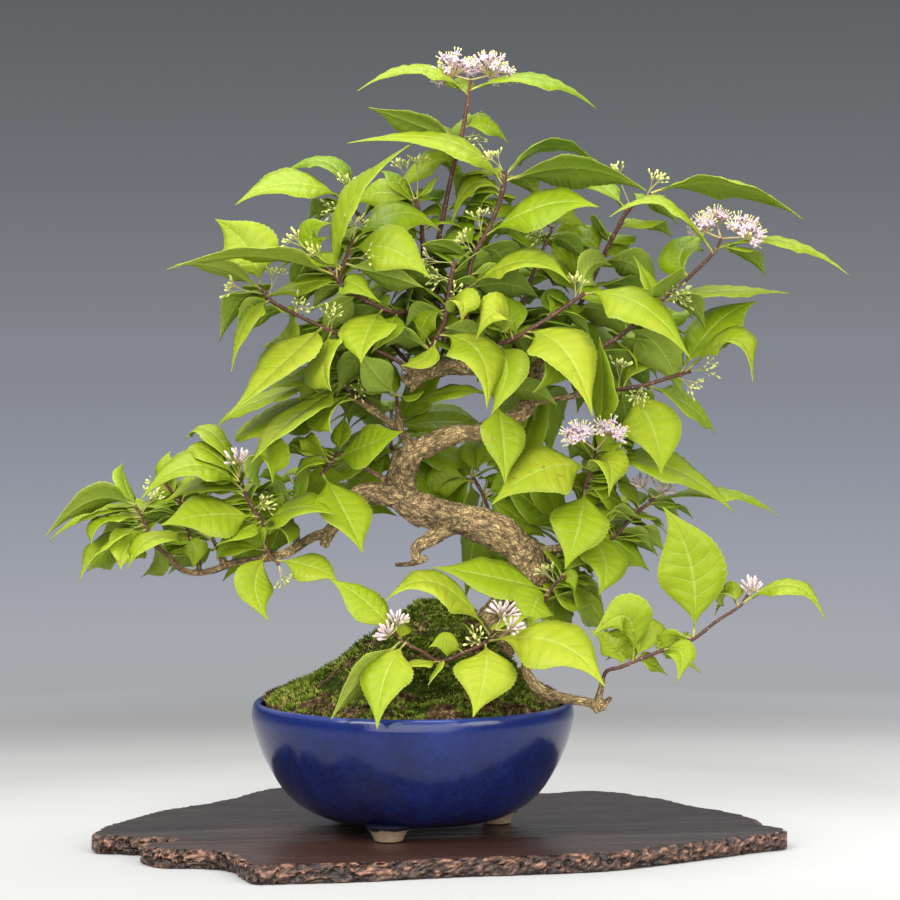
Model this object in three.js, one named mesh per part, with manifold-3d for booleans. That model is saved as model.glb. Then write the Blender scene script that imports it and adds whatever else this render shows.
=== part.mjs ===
// A japanese beautyberry bonsai in its glazed pot, on a carved wooden slab, in millimetres.
// Origin: on the slab's underside, below the middle of the pot. +X is right, +Y is back, +Z is up.
import * as THREE from 'three';
import { mergeVertices } from 'three/addons/utils/BufferGeometryUtils.js';
import Module from 'manifold-3d';

const wasm = await Module();
wasm.setup();

// Clearances between pieces
const seatGap = 0.3;
const shootGap = 0.5;
const leafClearance = 0.45;

// Slab
const slabThickness = 9;
const slabBevel = 1.6;

// Pot
const potFootHeight = 8.4;
const potFootCircle = 43.5;
const potFootTop = 11.8;
const potFootBottom = 7.4;
const potFootTurn = -105;
const drainRadius = 6;
const meshRadius = 9.5;
const meshThickness = 1;
const meshPitch = 2.9;
const meshHole = 3.6;
const meshSides = 12;
const potFloor = 20.4;
const potSides = 20;
const footSides = 10;
const recessRoom = 0.5;

// Soil and moss
const mossThickness = 6;
const mossRadius = 74;
const rimHeight = 71.5;
const moundPeak = 42;
const moundCentre = new THREE.Vector2(18, 2);
const moundLeft = 78;
const moundRight = 46;
const moundDeep = 56;
const skirtRise = 10.5;
const skirtRadius = 78;
const frontDip = 3;

// Sides of the round stems, and the rings of the trunk for each row of its route
const trunkSides = 8;
const trunkRings = 1;
const branchSides = 5;
const smallBranchSides = 4;
const twigSides = 3;

// Leaves
const keelDepth = 1.8;
const leafEdge = 0.3;
const leafShape = 0.46;
const widestLeaf = 34;

// The tree is laid out as it is seen from this point in front of it. Each place is given across
// and up in the plane through the middle of the pot, with its depth behind that plane.
const eye = new THREE.Vector3(18.5, -1460, 253);

function front(across, height, depth) {
  const spread = (depth - eye.y) / -eye.y;
  return new THREE.Vector3(
    eye.x + (across - eye.x) * spread,
    depth,
    eye.z + (height - eye.z) * spread,
  );
}

// Trunk and woody branches: rows of across, height, depth, radius
const trunkRoute = [
  [37, 70, 6, 8], [38, 86, 6, 9.5], [40, 99, 6, 10.5], [44, 112, 5, 11], [53, 126, 3, 10], [59, 139, 1, 9],
  [50, 151, 0, 8.5], [36, 159, -1, 8.5], [22, 163, -1, 8], [6, 167, -1, 7.8], [-4, 173, 0, 7.5],
  [-6, 184, 1, 7], [-1, 195, 1, 6.5], [9, 201, 1, 5], [20, 205, 1, 4.6], [34, 207, 2, 4.5],
  [48, 212, 4, 4.2], [57, 219, 5, 4], [60, 227, 4, 4], [55, 234, 2, 3.8], [44, 236.5, 0, 3.7],
  [30, 238, -2, 3.7], [16, 239, -3, 3.8], [4, 235, -4, 4.1], [-4, 230, -4, 4.3],
];

const woodyBranches = {
  left_low: [
    [-4, 174, 0, 6], [-24, 176, -2, 4.8], [-35, 168, -3, 3.8], [-41, 158, -4, 3],
    [-50, 154, -5, 2.4], [-66, 145, -6, 2.2], [-90, 141, -6, 2], [-98, 138, -5, 1.8],
    [-108, 136, -4, 1.7], [-116, 138, -3, 1.6], [-122, 144, -3, 1.5], [-130, 151, -3, 1.4],
  ],
  left_stub: [[-40, 159, -4, 2.6], [-45, 149, -5, 2.2]],
  pad_rise: [[-74, 143, -6, 1.8], [-74, 156, -8, 1.4]],
  pad_drop: [[-70, 144, -6, 1.8], [-71, 147, -11, 1.4]],
  pad_back: [[-107, 136, -4, 1.6], [-107, 143, 1, 1.3]],
  inner_left: [[-5, 181, 1, 2.2], [-14, 183, 2, 1.6], [-25, 189, 2, 1.4]],
  back_left: [[0, 198, 1, 3], [-6, 206, 1, 2.1], [-14, 213, 2, 2], [-29, 223, 2, 1.7]],
  fork: [[-6, 206, 1, 2], [-8, 220, -5, 1.4]],
  old_stub: [[20, 160, -2, 4], [1, 147, -5, 2.8], [2, 142, -5, 2]],
  dry_tip: [[7, 144, -5, 2], [1, 141, -5, 1.4], [-9, 140, -6, 1.2]],
  right_mid: [[54, 146, 0, 4], [64, 147, 0, 2.6], [82, 150, -2, 1.6]],
  right_mid_side: [[71, 148, -1, 2], [81, 146, 7, 1.5]],
  low_right: [
    [48, 114, 0, 4], [54, 105, -11, 2.3], [57, 95, -23, 1.9], [56.8, 87, -31, 2.6], [61, 79.5, -37, 2.8],
    [69, 75, -42, 2.6], [90, 70.5, -46, 2.4], [94, 67.5, -46, 2.7],
  ],
  low_right_tip: [[94, 68, -46, 2], [99, 74, -47, 1.2]],
  low_right_rise: [[92, 70, -46, 2], [95, 83, -46, 1.4]],
  base_right: [[54, 122, 0, 4], [60, 119, -9, 1.7], [65, 121, -13, 1.4]],
  base_front: [[45, 115, -2, 4], [45, 112, -14, 2], [43, 108, -26, 1.6]],
  upper_right: [[60, 223, 4, 3], [70, 223, 3, 1.9], [94, 227, -1, 1.5]],
  right_long_base: [[58, 231, 3, 3], [76, 240, -5, 1.9]],
  right_top_base: [[57, 232, 4, 3], [63, 241, 11, 2.2], [69, 249, 14, 2]],
  bud_stem_base: [[48, 236, 1, 2.6], [50, 243, 6, 1.7]],
  front_right_base: [[34, 238, -2, 2.6], [38, 245, -12, 1.8]],
  inner_front_base: [[40, 237, -1, 2.4], [39, 232, -9, 1.5]],
  upright_base: [[28, 238, -2, 2.8], [29, 246, -5, 2]],
  leader_base: [[20, 239, -1, 3], [18, 247, 7, 2.3], [15, 256, 11, 2]],
  front_left_base: [[8, 237, -4, 2.8], [8, 245, -11, 1.7]],
  upper_left: [[12, 239, 0, 3], [9, 251, 5, 2.3], [6, 262, 5, 2.1], [0, 266, 2, 1.8]],
  upper_left_rise: [[7, 260, 5, 2], [6, 269, 6, 1.7]],
  upper_left_back: [[8, 254, 5, 2], [3, 264, 14, 1.7]],
  left_mid_base: [[2, 235, -3, 2.6], [-6, 241, -9, 1.7]],
  loop_back: [[40, 158, 2, 4], [38, 166, 13, 1.6]],
};

// Leafy shoots. Each grows from the end of a woody branch along its route, and a leaf is given
// as: the route point that it grows from, its middle across and up, its tip across, up and deep,
// and the width that shows from the front, below zero where its underside shows.
// A bud cluster is: the route point that it grows from, across, height and depth of its middle.
const shootLayout = [
  {
    name: 'shoot_leader', from: 'leader_base',
    route: [
      [12, 270, 12, 1.9], [11, 286, 10, 1.8], [13, 304, 6, 1.7], [16, 319, 3, 1.6],
      [20, 338, 1, 1.5], [24, 353, -1, 1.5], [27, 370, -2, 1.3], [28, 376, -2, 1.2],
      [28.5, 380, -2, 0.9],
    ],
    leaves: [
      [8, 2, 388, -28, 377, -14, 5], [8, 62, 384, 92, 368, 16, 5], [6, 1, 361, -22, 369, -10, -13],
      [6, 25, 360, 28, 366, 44, 12], [5, 9, 341, -16, 320, -16, 11],
    ],
    buds: [[6, 26, 349, -6], [6, 33, 354, 8]],
  },
  {
    name: 'shoot_upright', from: 'upright_base',
    route: [
      [27, 262, -6, 1.9], [27, 278, -8, 1.8], [30, 294, -9, 1.7], [35, 303, -10, 1.7],
      [40, 313, -11, 1.6], [45, 328, -12, 1.8], [46, 337, -12, 1.7],
    ],
    leaves: [
      [6, 18, 352, -33, 351, -34, 9], [6, 82, 339, 117, 327, 2, -15], [7, 68, 350, 97, 338, 22, -6],
      [6, 29, 330, 19, 310, -4, 8], [6, 33, 323, 20, 304, 12, 9], [4, 66, 320, 93, 319, -36, 17],
      [2, 56, 292, 79, 281, -40, 10], [3, 15, 300, 4, 300, -26, -8],
    ],
    buds: [[4, 33, 316, -15], [3, 24, 304, -12], [7, 39, 345, -14]],
  },
  {
    name: 'shoot_front_left', from: 'front_left_base',
    route: [
      [12, 254, -16, 1.6], [16, 262, -18, 1.6], [17, 270, -19, 1.6], [19, 283, -20, 1.5],
      [21, 292, -20, 1.5],
    ],
    leaves: [
      [1, 33, 246, 37, 218, -54, 20], [1, 5, 243, -6, 240, -34, 9], [3, 6, 262, 6, 247, -6, 12],
      [3, 25, 272, 24, 261, -42, 13],
    ],
    buds: [[4, 10, 284, -26], [3, 23, 276, -26], [5, 5, 292, -24]],
  },
  {
    name: 'shoot_front_right', from: 'front_right_base',
    route: [[43, 250, -17, 1.7], [52, 254, -20, 1.7], [70, 265, -22, 1.5], [86, 276, -24, 1.4]],
    leaves: [
      [4, 114, 270, 139, 243, -54, 18], [4, 88, 289, 99, 290, 4, -14], [2, 76, 247, 90, 214, -64, 24],
      [2, 72, 243, 60, 226, -44, 18], [2, 47, 269, 41, 283, 6, 20], [2, 42, 267, 31, 252, -38, 14],
      [3, 74, 270, 86, 261, 18, 14], [1, 47, 236, 39, 215, -58, 19],
    ],
    buds: [[2, 39, 271, -26], [4, 82, 283, -26]],
  },
  {
    name: 'shoot_inner_front', from: 'inner_front_base',
    route: [[40, 226, -16, 1.3], [42, 221, -22, 1.2]],
    leaves: [[2, 45, 203, 46, 180, -44, 20], [1, 17, 227, 2, 221, 6, 7]],
    buds: [],
  },
  {
    name: 'shoot_loop', from: 'loop_back',
    route: [[35, 175, 22, 1.4], [30, 184, 27, 1.3]],
    leaves: [
      [2, 14, 182, 4, 175, 30, 15], [2, 38, 196, 45, 181, 34, 12], [1, 54, 163, 66, 154, 26, 13],
    ],
    buds: [],
  },
  {
    name: 'shoot_right_top', from: 'right_top_base',
    route: [
      [78, 261, 14, 1.9], [86, 275, 12, 1.8], [95, 294, 8, 1.7], [100, 304, 5, 1.6],
      [108, 318, 2, 1.7], [113, 322, 1, 1.3], [119, 326, 0, 1.1],
    ],
    leaves: [
      [7, 156, 331, 195, 313, -18, -9], [5, 92, 331, 77, 334, 28, 8], [2, 79, 298, 81, 321, 26, 18],
      [3, 84, 304, 72, 298, 34, 12],
    ],
    buds: [[5, 101, 338, -2], [7, 123, 334, -4]],
  },
  {
    name: 'shoot_buds', from: 'bud_stem_base',
    route: [[53, 262, 5, 1.5], [59, 283, 3, 1.4], [66, 300, 1, 1.2], [70, 309, 0, 1]],
    leaves: [[3, 57, 303, 46, 306, 12, -12], [4, 76, 314, 88, 308, 14, 9], [2, 68, 286, 78, 276, 22, 10]],
    buds: [[4, 61, 306, -8]],
  },
  {
    name: 'shoot_right_long', from: 'right_long_base',
    route: [
      [90, 246, -10, 1.8], [108, 258, -14, 1.6], [125, 273, -18, 1.5], [138, 284, -20, 1.4],
      [151, 297, -22, 1.3], [153, 301, -23, 0.9],
    ],
    leaves: [
      [5, 186, 302, 218, 285, -10, 4], [5, 125, 320, 98, 314, -42, 4], [4, 134, 296, 148, 307, 14, 18],
      [3, 119, 280, 110, 295, -36, 7], [3, 128, 281, 135, 289, -34, -10], [3, 155, 277, 188, 276, 10, 6],
      [2, 114, 257, 136, 248, 12, 14],
    ],
    buds: [[3, 131, 276, -24], [3, 137, 274, -14]],
  },
  {
    name: 'shoot_right_mid', from: 'upper_right',
    route: [[105, 228, -4, 1.5], [116, 230, -6, 1.4], [126, 233, -8, 1.3], [139, 237, -10, 1.4]],
    leaves: [
      [4, 151, 260, 172, 272, 12, 20], [4, 161, 253, 170, 231, -32, 10], [1, 120, 208, 124, 185, -42, 26],
      [2, 139, 219, 151, 206, 22, 9], [1, 114, 244, 127, 246, 20, 13],
    ],
    buds: [[4, 149, 239, -16], [4, 141, 229, -12], [1, 104, 241, -8], [2, 113, 224, -12]],
  },
  {
    name: 'shoot_right_rise', from: 'right_mid',
    route: [
      [86, 158, -5, 1.5], [84, 168, -8, 1.5], [86, 179, -10, 1.4], [90, 190, -12, 1.3],
      [92, 201, -9, 1.1],
    ],
    twigs: [{ node: 4, route: [[91, 196, -20, 1]] }],
    leaves: [
      [5, 95, 229, 93, 254, 4, 13], [4, 98, 191, 98, 174, -44, 15], [4, 65, 188, 39, 170, -56, 24],
      [4, 128, 189, 161, 166, -8, 14], [3, 83, 160, 76, 138, -48, 27], [3, 99, 174, 107, 166, 12, 10],
      [1, 96, 142, 93, 125, -40, 20],
    ],
    buds: [[5, 104, 197, -16]],
  },
  {
    name: 'shoot_right_low', from: 'right_mid_side',
    route: [[98, 152, 6, 1.3], [107, 161, 4, 1.2], [114, 168, 2, 1.3], [119, 172, 0, 1]],
    leaves: [
      [3, 152, 178, 183, 164, 12, 4], [2, 115, 165, 128, 155, 16, 3], [1, 110, 162, 122, 150, 20, 4],
      [1, 110, 155, 122, 152, 30, 7],
    ],
    buds: [],
  },
  {
    name: 'shoot_base_right', from: 'base_right',
    route: [[69, 128, -15, 1.3], [75, 135, -16, 1.1]],
    leaves: [
      [1, 61, 121, 58, 106, -42, 20], [1, 40, 134, 10, 139, -28, 18],
      [1, 78, 122, 93, 122, 2, 8], [2, 84, 142, 90, 134, 8, 7],
    ],
    buds: [[1, 66, 138, -14]],
  },
  {
    name: 'shoot_low_right', from: 'low_right_rise',
    route: [
      [97, 87, -46, 1.3], [104, 89, -45, 1.3], [111, 92, -44, 1.3], [124, 97, -42, 1.2],
      [140, 103, -40, 1.3], [152, 112, -38, 1.1], [164, 120, -36, 1.1],
      [166, 123, -36, 0.9],
    ],
    leaves: [
      [3, 107, 114, 89, 104, -56, 22], [4, 134, 96, 132, 81, -62, 13], [3, 120, 91, 131, 83, -30, 9],
      [5, 139, 140, 125, 169, -44, 31], [7, 190, 130, 206, 113, -54, 8], [7, 157, 126, 151, 115, -14, 7],
      [4, 118, 108, 108, 118, -20, 12],
    ],
    buds: [],
  },
  {
    name: 'shoot_front_low', from: 'base_front',
    route: [
      [39, 104, -40, 1.4], [36, 101, -50, 1.4], [25, 96, -54, 1.3], [13, 92, -57, 1.4],
      [4, 97, -60, 1.2], [-6, 102, -62, 1.1], [-8, 105, -64, 0.9],
    ],
    twigs: [{ node: 2, route: [[40, 106, -54, 1]] }],
    leaves: [
      [2, 36, 86, 30, 64, -88, 28], [2, 72, 101, 96, 79, -86, 20], [3, 17, 101, 8, 99, -68, 10],
      [4, 11, 86, 6, 77, -80, 4], [6, -12, 84, -18, 58, -94, 24], [6, -31, 79, -50, 53, -86, 17],
      [6, -24, 122, -42, 133, -56, 15], [1, 12, 131, -14, 122, -64, 13],
    ],
    buds: [[2, 31, 104, -58]],
  },
  {
    name: 'shoot_left_mid', from: 'left_mid_base',
    route: [
      [-24, 250, -14, 1.5], [-43, 258, -18, 1.4], [-60, 266, -20, 1.4], [-72, 273, -21, 1.4],
      [-77, 280, -22, 1.1],
    ],
    leaves: [
      [5, -83, 299, -99, 313, -12, 28], [5, -96, 289, -119, 290, -36, -8], [4, -84, 262, -91, 236, -36, 7],
      [4, -80, 272, -94, 267, -2, 5], [2, -63, 243, -93, 214, -52, 17], [2, -45, 241, -41, 227, -64, 15],
      [3, -62, 257, -76, 249, 10, 9],
    ],
    buds: [[5, -92, 279, -28], [5, -69, 287, -24], [3, -56, 270, -26], [2, -40, 267, -24]],
  },
  {
    name: 'shoot_left_up', from: 'upper_left',
    route: [
      [-8, 266, -5, 1.5], [-15, 268, -10, 1.5], [-30, 276, -15, 1.5], [-37, 282, -17, 1.6],
      [-45, 292, -18, 1.1],
    ],
    leaves: [
      [4, -78, 295, -123, 288, -44, -7], [4, -32, 319, -2, 350, -42, 9], [2, -23, 256, -26, 241, -60, 23],
      [1, -12, 258, -21, 246, -22, 12], [4, -30, 281, -16, 271, -34, 11], [4, -54, 281, -75, 273, -4, 9],
      [5, -51, 305, -41, 311, -26, 13], [7, -11, 298, 9, 283, -54, 22], [7, -8, 316, 14, 307, -8, 14],
      [6, -12, 285, 5, 279, -38, -13],
    ],
    twigs: [{ node: 4, route: [[-34, 292, -22, 1.3], [-30, 303, -25, 1.2]] }],
    buds: [[5, -61, 304, -20], [5, -51, 297, -24], [7, -28, 312, -30], [6, -20, 294, -32]],
  },
  {
    name: 'shoot_left_top', from: 'upper_left_back',
    route: [[-6, 286, 19, 1.6], [-18, 303, 17, 1.5], [-28, 316, 13, 1.4], [-34, 323, 10, 1.1]],
    leaves: [
      [4, -62, 331, -89, 320, -12, 13], [3, -42, 341, -66, 335, 36, 8],
      [2, -32, 300, -46, 296, 32, 12],
    ],
    buds: [[4, -42, 317, 2], [4, -33, 333, 8]],
  },
  {
    name: 'shoot_centre_top', from: 'upper_left_rise',
    route: [[5, 292, 4, 1.5], [4, 312, 0, 1.5], [1, 323, -2, 1.5]],
    leaves: [[3, -8, 332, -16, 337, 14, 7], [2, -12, 318, -20, 308, 24, 12]],
    buds: [[3, -6, 341, -4], [3, 3, 343, -8]],
  },
  {
    name: 'shoot_fork', from: 'fork',
    route: [[-8, 225, -9, 1.2]],
    leaves: [[1, -19, 236, -27, 246, -26, -16], [1, -11, 235, -13, 245, 8, 8]],
    buds: [],
  },
  {
    name: 'shoot_inner_left', from: 'inner_left',
    route: [[-37, 196, 2, 1.3], [-40, 192, -6, 1.2], [-46, 185, -10, 1.2]],
    leaves: [
      [2, -23, 200, -5, 207, -36, 17], [2, -51, 192, -60, 183, -24, 5], [3, -34, 166, -25, 146, -48, 22],
    ],
    buds: [],
  },
  {
    name: 'shoot_back_left', from: 'back_left',
    route: [[-33, 229, 0, 1.4], [-35, 240, 1, 1.1]],
    leaves: [
      [1, -60, 213, -81, 191, -54, 11], [1, -42, 217, -41, 206, -46, 13], [1, -78, 222, -98, 209, 4, 7],
      [1, -76, 213, -89, 203, 22, 9], [2, -58, 234, -72, 228, -12, 9], [2, -52, 234, -47, 226, -24, 5],
      [1, -54, 214, -64, 205, 20, 12],
    ],
    buds: [[1, -26, 228, -12]],
  },
  {
    name: 'shoot_pad_rise', from: 'pad_rise',
    route: [
      [-75, 161, -9, 1.3], [-80, 168, -10, 1.3], [-83.5, 175, -11, 1.3], [-85, 179, -12, 1.1],
      [-86, 182, -14, 0.9],
    ],
    leaves: [
      [1, -102, 165, -126, 160, -46, 20], [1, -90, 155, -104, 147, -42, 9], [1, -64, 158, -62, 149, -34, 8],
      [1, -58, 169, -38, 165, -46, 12], [3, -110, 190, -137, 172, -32, 13], [3, -105, 180, -126, 170, -8, 7],
      [4, -100, 206, -114, 203, 14, 8], [4, -104, 198, -115, 194, -8, 9], [4, -74, 193, -70, 181, -52, 13],
    ],
    buds: [[2, -73, 171, -16]],
  },
  {
    name: 'shoot_pad_end', from: 'left_low',
    route: [[-133, 158, -4, 1.2], [-136, 165, -5, 1.1], [-139, 170, -6, 1]],
    leaves: [
      [3, -160, 173, -184, 154, -22, -12], [2, -160, 166, -182, 152, 2, 5],
      [3, -144, 181, -145, 191, 18, 7],
      [2, -155, 161, -161, 150, -32, 5], [1, -155, 150, -167, 132, -34, 7],
      [1, -143, 149, -146, 138, -38, 19],
      [1, -128, 145, -136, 134, 10, 8],
    ],
    buds: [[3, -129, 176, -8]],
  },
  {
    name: 'shoot_pad_mid', from: 'pad_back',
    route: [[-112, 155, 4, 1.3], [-116, 170, 4, 1.3], [-124, 181, 2, 1.1]],
    leaves: [
      [1, -132, 153, -143, 138, -26, 9], [1, -109, 148, -110, 138, -14, 12],
      [2, -110, 180, -102, 173, 16, 10],
      [3, -125, 190, -121, 197, 20, 8],
    ],
    buds: [[3, -131, 178, -2]],
  },
  {
    name: 'shoot_pad_drop', from: 'pad_drop',
    route: [[-73, 147, -16, 1.3], [-67, 140, -20, 1.2]],
    leaves: [
      [1, -79, 130, -72, 112, -40, 18], [2, -50, 139, -38, 132, -36, 14],
      [1, -92, 149, -98, 142, -10, 8],
    ],
    buds: [[2, -64, 132, -22]],
  },
];

// Flower heads at the end of a shoot or of its side twig: across, height, depth and radius of each
const bloomLayout = [
  {
    name: 'bloom_leader', from: 'shoot_leader', end: 0,
    heads: [[18, 391, 8, 11], [41, 391, 10, 11]],
  },
  {
    name: 'bloom_right_long', from: 'shoot_right_long', end: 0,
    heads: [[143, 310, -14, 6.5], [151, 315, -10, 6], [167, 309, -26, 8.5]],
  },
  {
    name: 'bloom_right_rise', from: 'shoot_right_rise', end: 1,
    heads: [[83, 206, -30, 9], [99, 208, -28, 9]],
  },
  {
    name: 'bloom_right_low', from: 'shoot_right_low', end: 0,
    heads: [[114, 181, -4, 5.5], [126, 178, -2, 5.5]],
  },
  { name: 'bloom_low_right', from: 'shoot_low_right', end: 0, heads: [[170, 129, -28, 6]] },
  { name: 'bloom_pad', from: 'shoot_pad_rise', end: 0, heads: [[-87, 194, -24, 8]] },
  {
    name: 'bloom_front_low', from: 'shoot_front_low', end: 0,
    heads: [[-7, 113, -66, 6.5], [-15, 106, -68, 5.5]],
  },
  {
    name: 'bloom_front_base', from: 'shoot_front_low', end: 1,
    heads: [[45, 118, -60, 7.5], [51, 109, -62, 6]],
  },
];

// Slab outline seen from above, round from its left tip
const slabOutline = [
  [-157, -24], [-140, -30], [-117, -36], [-131, -45], [-129, -56], [-119, -66], [-100, -68],
  [-87, -75], [-80, -92], [-72, -108], [-58, -107], [-24, -102], [17, -91], [59, -83], [92, -75],
  [120, -59], [148, -40], [170, -24], [185, -14], [184, 2], [177, 10], [176, 22], [166, 46],
  [148, 66], [129, 96], [109, 113], [92, 120], [68, 111], [38, 119], [4, 124], [-38, 128],
  [-76, 130], [-98, 96], [-115, 73], [-132, 53], [-144, 28], [-155, 4],
];

// Pot profile: radius and height, from the underside round the wall to the inside floor
const potOuter = [
  [drainRadius, 14.6], [30, 14.2], [47, 16.4], [61, 25], [72.5, 41], [79, 55], [80.8, 65.5],
  [79.8, 71.2], [77, 72.6],
];
const potInner = [[75.4, 68], [75.6, 61], [70.8, 49], [60, 35], [42, 23.4], [drainRadius, potFloor]];

const finishes = {
  lacquer: { color: 0x3a2420, roughness: 0.35, metalness: 0 },
  glaze: { color: 0x1b2470, roughness: 0.15, metalness: 0 },
  mesh: { color: 0x303236, roughness: 0.6, metalness: 0 },
  soil: { color: 0x3a2c20, roughness: 0.95, metalness: 0 },
  moss: { color: 0x5a6a22, roughness: 0.95, metalness: 0 },
  bark: { color: 0x9a8060, roughness: 0.85, metalness: 0 },
  leaf: { color: 0x9cba2a, roughness: 0.5, metalness: 0 },
  bloom: { color: 0xe6cfe0, roughness: 0.7, metalness: 0 },
};

// Solids

function solidOf(geometry) {
  const bare = geometry.clone();
  bare.deleteAttribute('normal');
  bare.deleteAttribute('uv');
  const merged = mergeVertices(bare, 1e-4);
  return new wasm.Manifold(new wasm.Mesh({
    numProp: 3,
    vertProperties: merged.attributes.position.array,
    triVerts: new Uint32Array(merged.index.array),
  }));
}

function geometryOf(solid) {
  const mesh = solid.getMesh();
  const geometry = new THREE.BufferGeometry();
  geometry.setAttribute('position', new THREE.BufferAttribute(new Float32Array(mesh.vertProperties), 3));
  geometry.setIndex(new THREE.BufferAttribute(new Uint32Array(mesh.triVerts), 1));
  geometry.computeVertexNormals();
  return geometry;
}

function joined(solids) {
  return solids.reduce((whole, solid) => whole.add(solid));
}

// A round stem through points, each with its own radius, its sides kept from twisting
function stemSolid(points, radii, sides, { between = 1, swell = () => 1, heading = null } = {}) {
  const curve = new THREE.CatmullRomCurve3(points, false, 'centripetal');
  const steps = (points.length - 1) * between;
  const geometry = new THREE.CylinderGeometry(1, 1, 1, sides, steps);
  const frames = [];
  let side = new THREE.Vector3(0.35, -0.9, 0.25);
  for (let i = 0; i <= steps; i += 1) {
    const along = i === 0 && heading ? heading : curve.getTangent(i / steps);
    side = side.clone().addScaledVector(along, -side.dot(along)).normalize();
    frames.push({ centre: curve.getPoint(i / steps), side, across: side.clone().cross(along) });
  }
  const position = geometry.attributes.position;
  for (let v = 0; v < position.count; v += 1) {
    const t = position.getY(v) + 0.5;
    const { centre, side: u, across: w } = frames[Math.round(t * steps)];
    const place = t * (points.length - 1);
    const low = Math.min(Math.floor(place), points.length - 2);
    const radius = THREE.MathUtils.lerp(radii[low], radii[low + 1], place - low);
    const turn = Math.atan2(position.getZ(v), position.getX(v));
    const reach = radius * swell(turn, place);
    const spot = centre.clone()
      .addScaledVector(u, position.getX(v) * reach)
      .addScaledVector(w, position.getZ(v) * reach);
    position.setXYZ(v, spot.x, spot.y, spot.z);
  }
  return solidOf(geometry);
}

function routePoints(route) {
  return route.map(([across, height, depth]) => front(across, height, depth));
}

function routeRadii(route) {
  return route.map((row) => row[3]);
}

// Leaves

// Half the width of a blade along its midrib, as a share of its greatest half width. A toothed
// blade steps in after its widest places; a small one is plain.
const toothedBlade = [
  { along: 0, half: 0 }, { along: 0.14, half: 0.2 }, { along: 0.42, half: 1, notch: 0.87 },
  { along: 0.64, half: 0.8, notch: 0.63 }, { along: 0.85, half: 0.26 }, { along: 1, half: 0 },
];
const plainBlade = [
  { along: 0, half: 0 }, { along: 0.14, half: 0.22 }, { along: 0.48, half: 1 },
  { along: 0.8, half: 0.42 }, { along: 1, half: 0 },
];
const toothedLength = 43;
const notchStep = 0.04;
const rootHalfWidth = 0.65;
const rootSpacing = 2.4;

// A leaf's direction, its face's normal and its left side at one place on the midrib
function leafFrame(leaf, along) {
  const centre = leaf.midrib.getPoint(along);
  const forward = leaf.midrib.getTangent(along);
  const sight = leaf.sight(centre);
  const rise = sight.clone().cross(forward).normalize().multiplyScalar(leaf.riseSign);
  const facing = forward.clone().cross(rise);
  if (facing.dot(sight) < 0) facing.negate();
  const normal = facing.multiplyScalar(leaf.turn * leaf.side)
    .addScaledVector(rise, Math.sqrt(1 - leaf.turn * leaf.turn));
  return { centre, normal, left: normal.clone().cross(forward) };
}

// A leaf through its root, middle and tip. Its face turns until the width asked for shows along sight.
function makeLeaf(root, middle, tip, shown, sight) {
  const bend = middle.clone().multiplyScalar(2).addScaledVector(root, -0.5).addScaledVector(tip, -0.5);
  const midrib = new THREE.QuadraticBezierCurve3(root, bend, tip);
  const length = midrib.getLength();
  const natural = Math.min(length * leafShape, widestLeaf);
  const width = Math.max(natural, Math.abs(shown));
  const rise = sight(middle).cross(midrib.getTangent(0.5));
  return {
    root, middle, tip, midrib, width, sight, shown,
    blade: length < toothedLength ? plainBlade : toothedBlade,
    turn: Math.min(Math.abs(shown) / width, 1),
    side: shown < 0 ? -1 : 1,
    riseSign: rise.z < 0 ? -1 : 1,
  };
}

// The closed blade: toothed edges, and a midrib raised along its underside
function leafSolid(leaf, firstStation = 0, grow = 0) {
  const points = [];
  const faces = [];
  const put = (spot) => points.push(spot.x, spot.y, spot.z) / 3 - 1;
  const edges = (frame, half) => [1, -1].map((side) => put(frame.centre.clone()
    .addScaledVector(frame.left, side * half)
    .addScaledVector(frame.normal, grow)));
  const sections = leaf.blade.slice(firstStation, -1).map((station) => {
    const half = Math.max(station.half * leaf.width / 2, rootHalfWidth) + grow;
    const frame = leafFrame(leaf, station.along);
    const keel = keelDepth * (0.55 + 1.6 * station.along * (1 - station.along)) + grow;
    const under = put(frame.centre.clone().addScaledVector(frame.normal, -keel));
    const [left, right] = edges(frame, half);
    let [leftEnd, rightEnd] = [left, right];
    if (station.notch) {
      const next = leafFrame(leaf, station.along + notchStep);
      [leftEnd, rightEnd] = edges(next, station.notch * leaf.width / 2 + grow);
      faces.push([left, right, rightEnd], [left, rightEnd, leftEnd]);
      faces.push([under, left, leftEnd], [under, rightEnd, right]);
    }
    return { under, left, right, leftEnd, rightEnd };
  });
  for (let i = 0; i + 1 < sections.length; i += 1) {
    const a = sections[i];
    const b = sections[i + 1];
    faces.push([a.leftEnd, a.rightEnd, b.right], [a.leftEnd, b.right, b.left]);
    faces.push([a.under, a.leftEnd, b.left], [a.under, b.left, b.under]);
    faces.push([a.under, b.right, a.rightEnd], [a.under, b.under, b.right]);
  }
  const first = sections[0];
  const last = sections[sections.length - 1];
  const tip = put(leaf.tip.clone().addScaledVector(leafFrame(leaf, 1).normal, -leafEdge));
  faces.push([last.leftEnd, last.rightEnd, tip]);
  faces.push([last.under, last.leftEnd, tip], [last.under, tip, last.rightEnd]);
  faces.push([first.left, first.under, first.right]);
  const geometry = new THREE.BufferGeometry();
  geometry.setAttribute('position', new THREE.BufferAttribute(new Float32Array(points), 3));
  geometry.setIndex(faces.flat());
  return solidOf(geometry);
}

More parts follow.
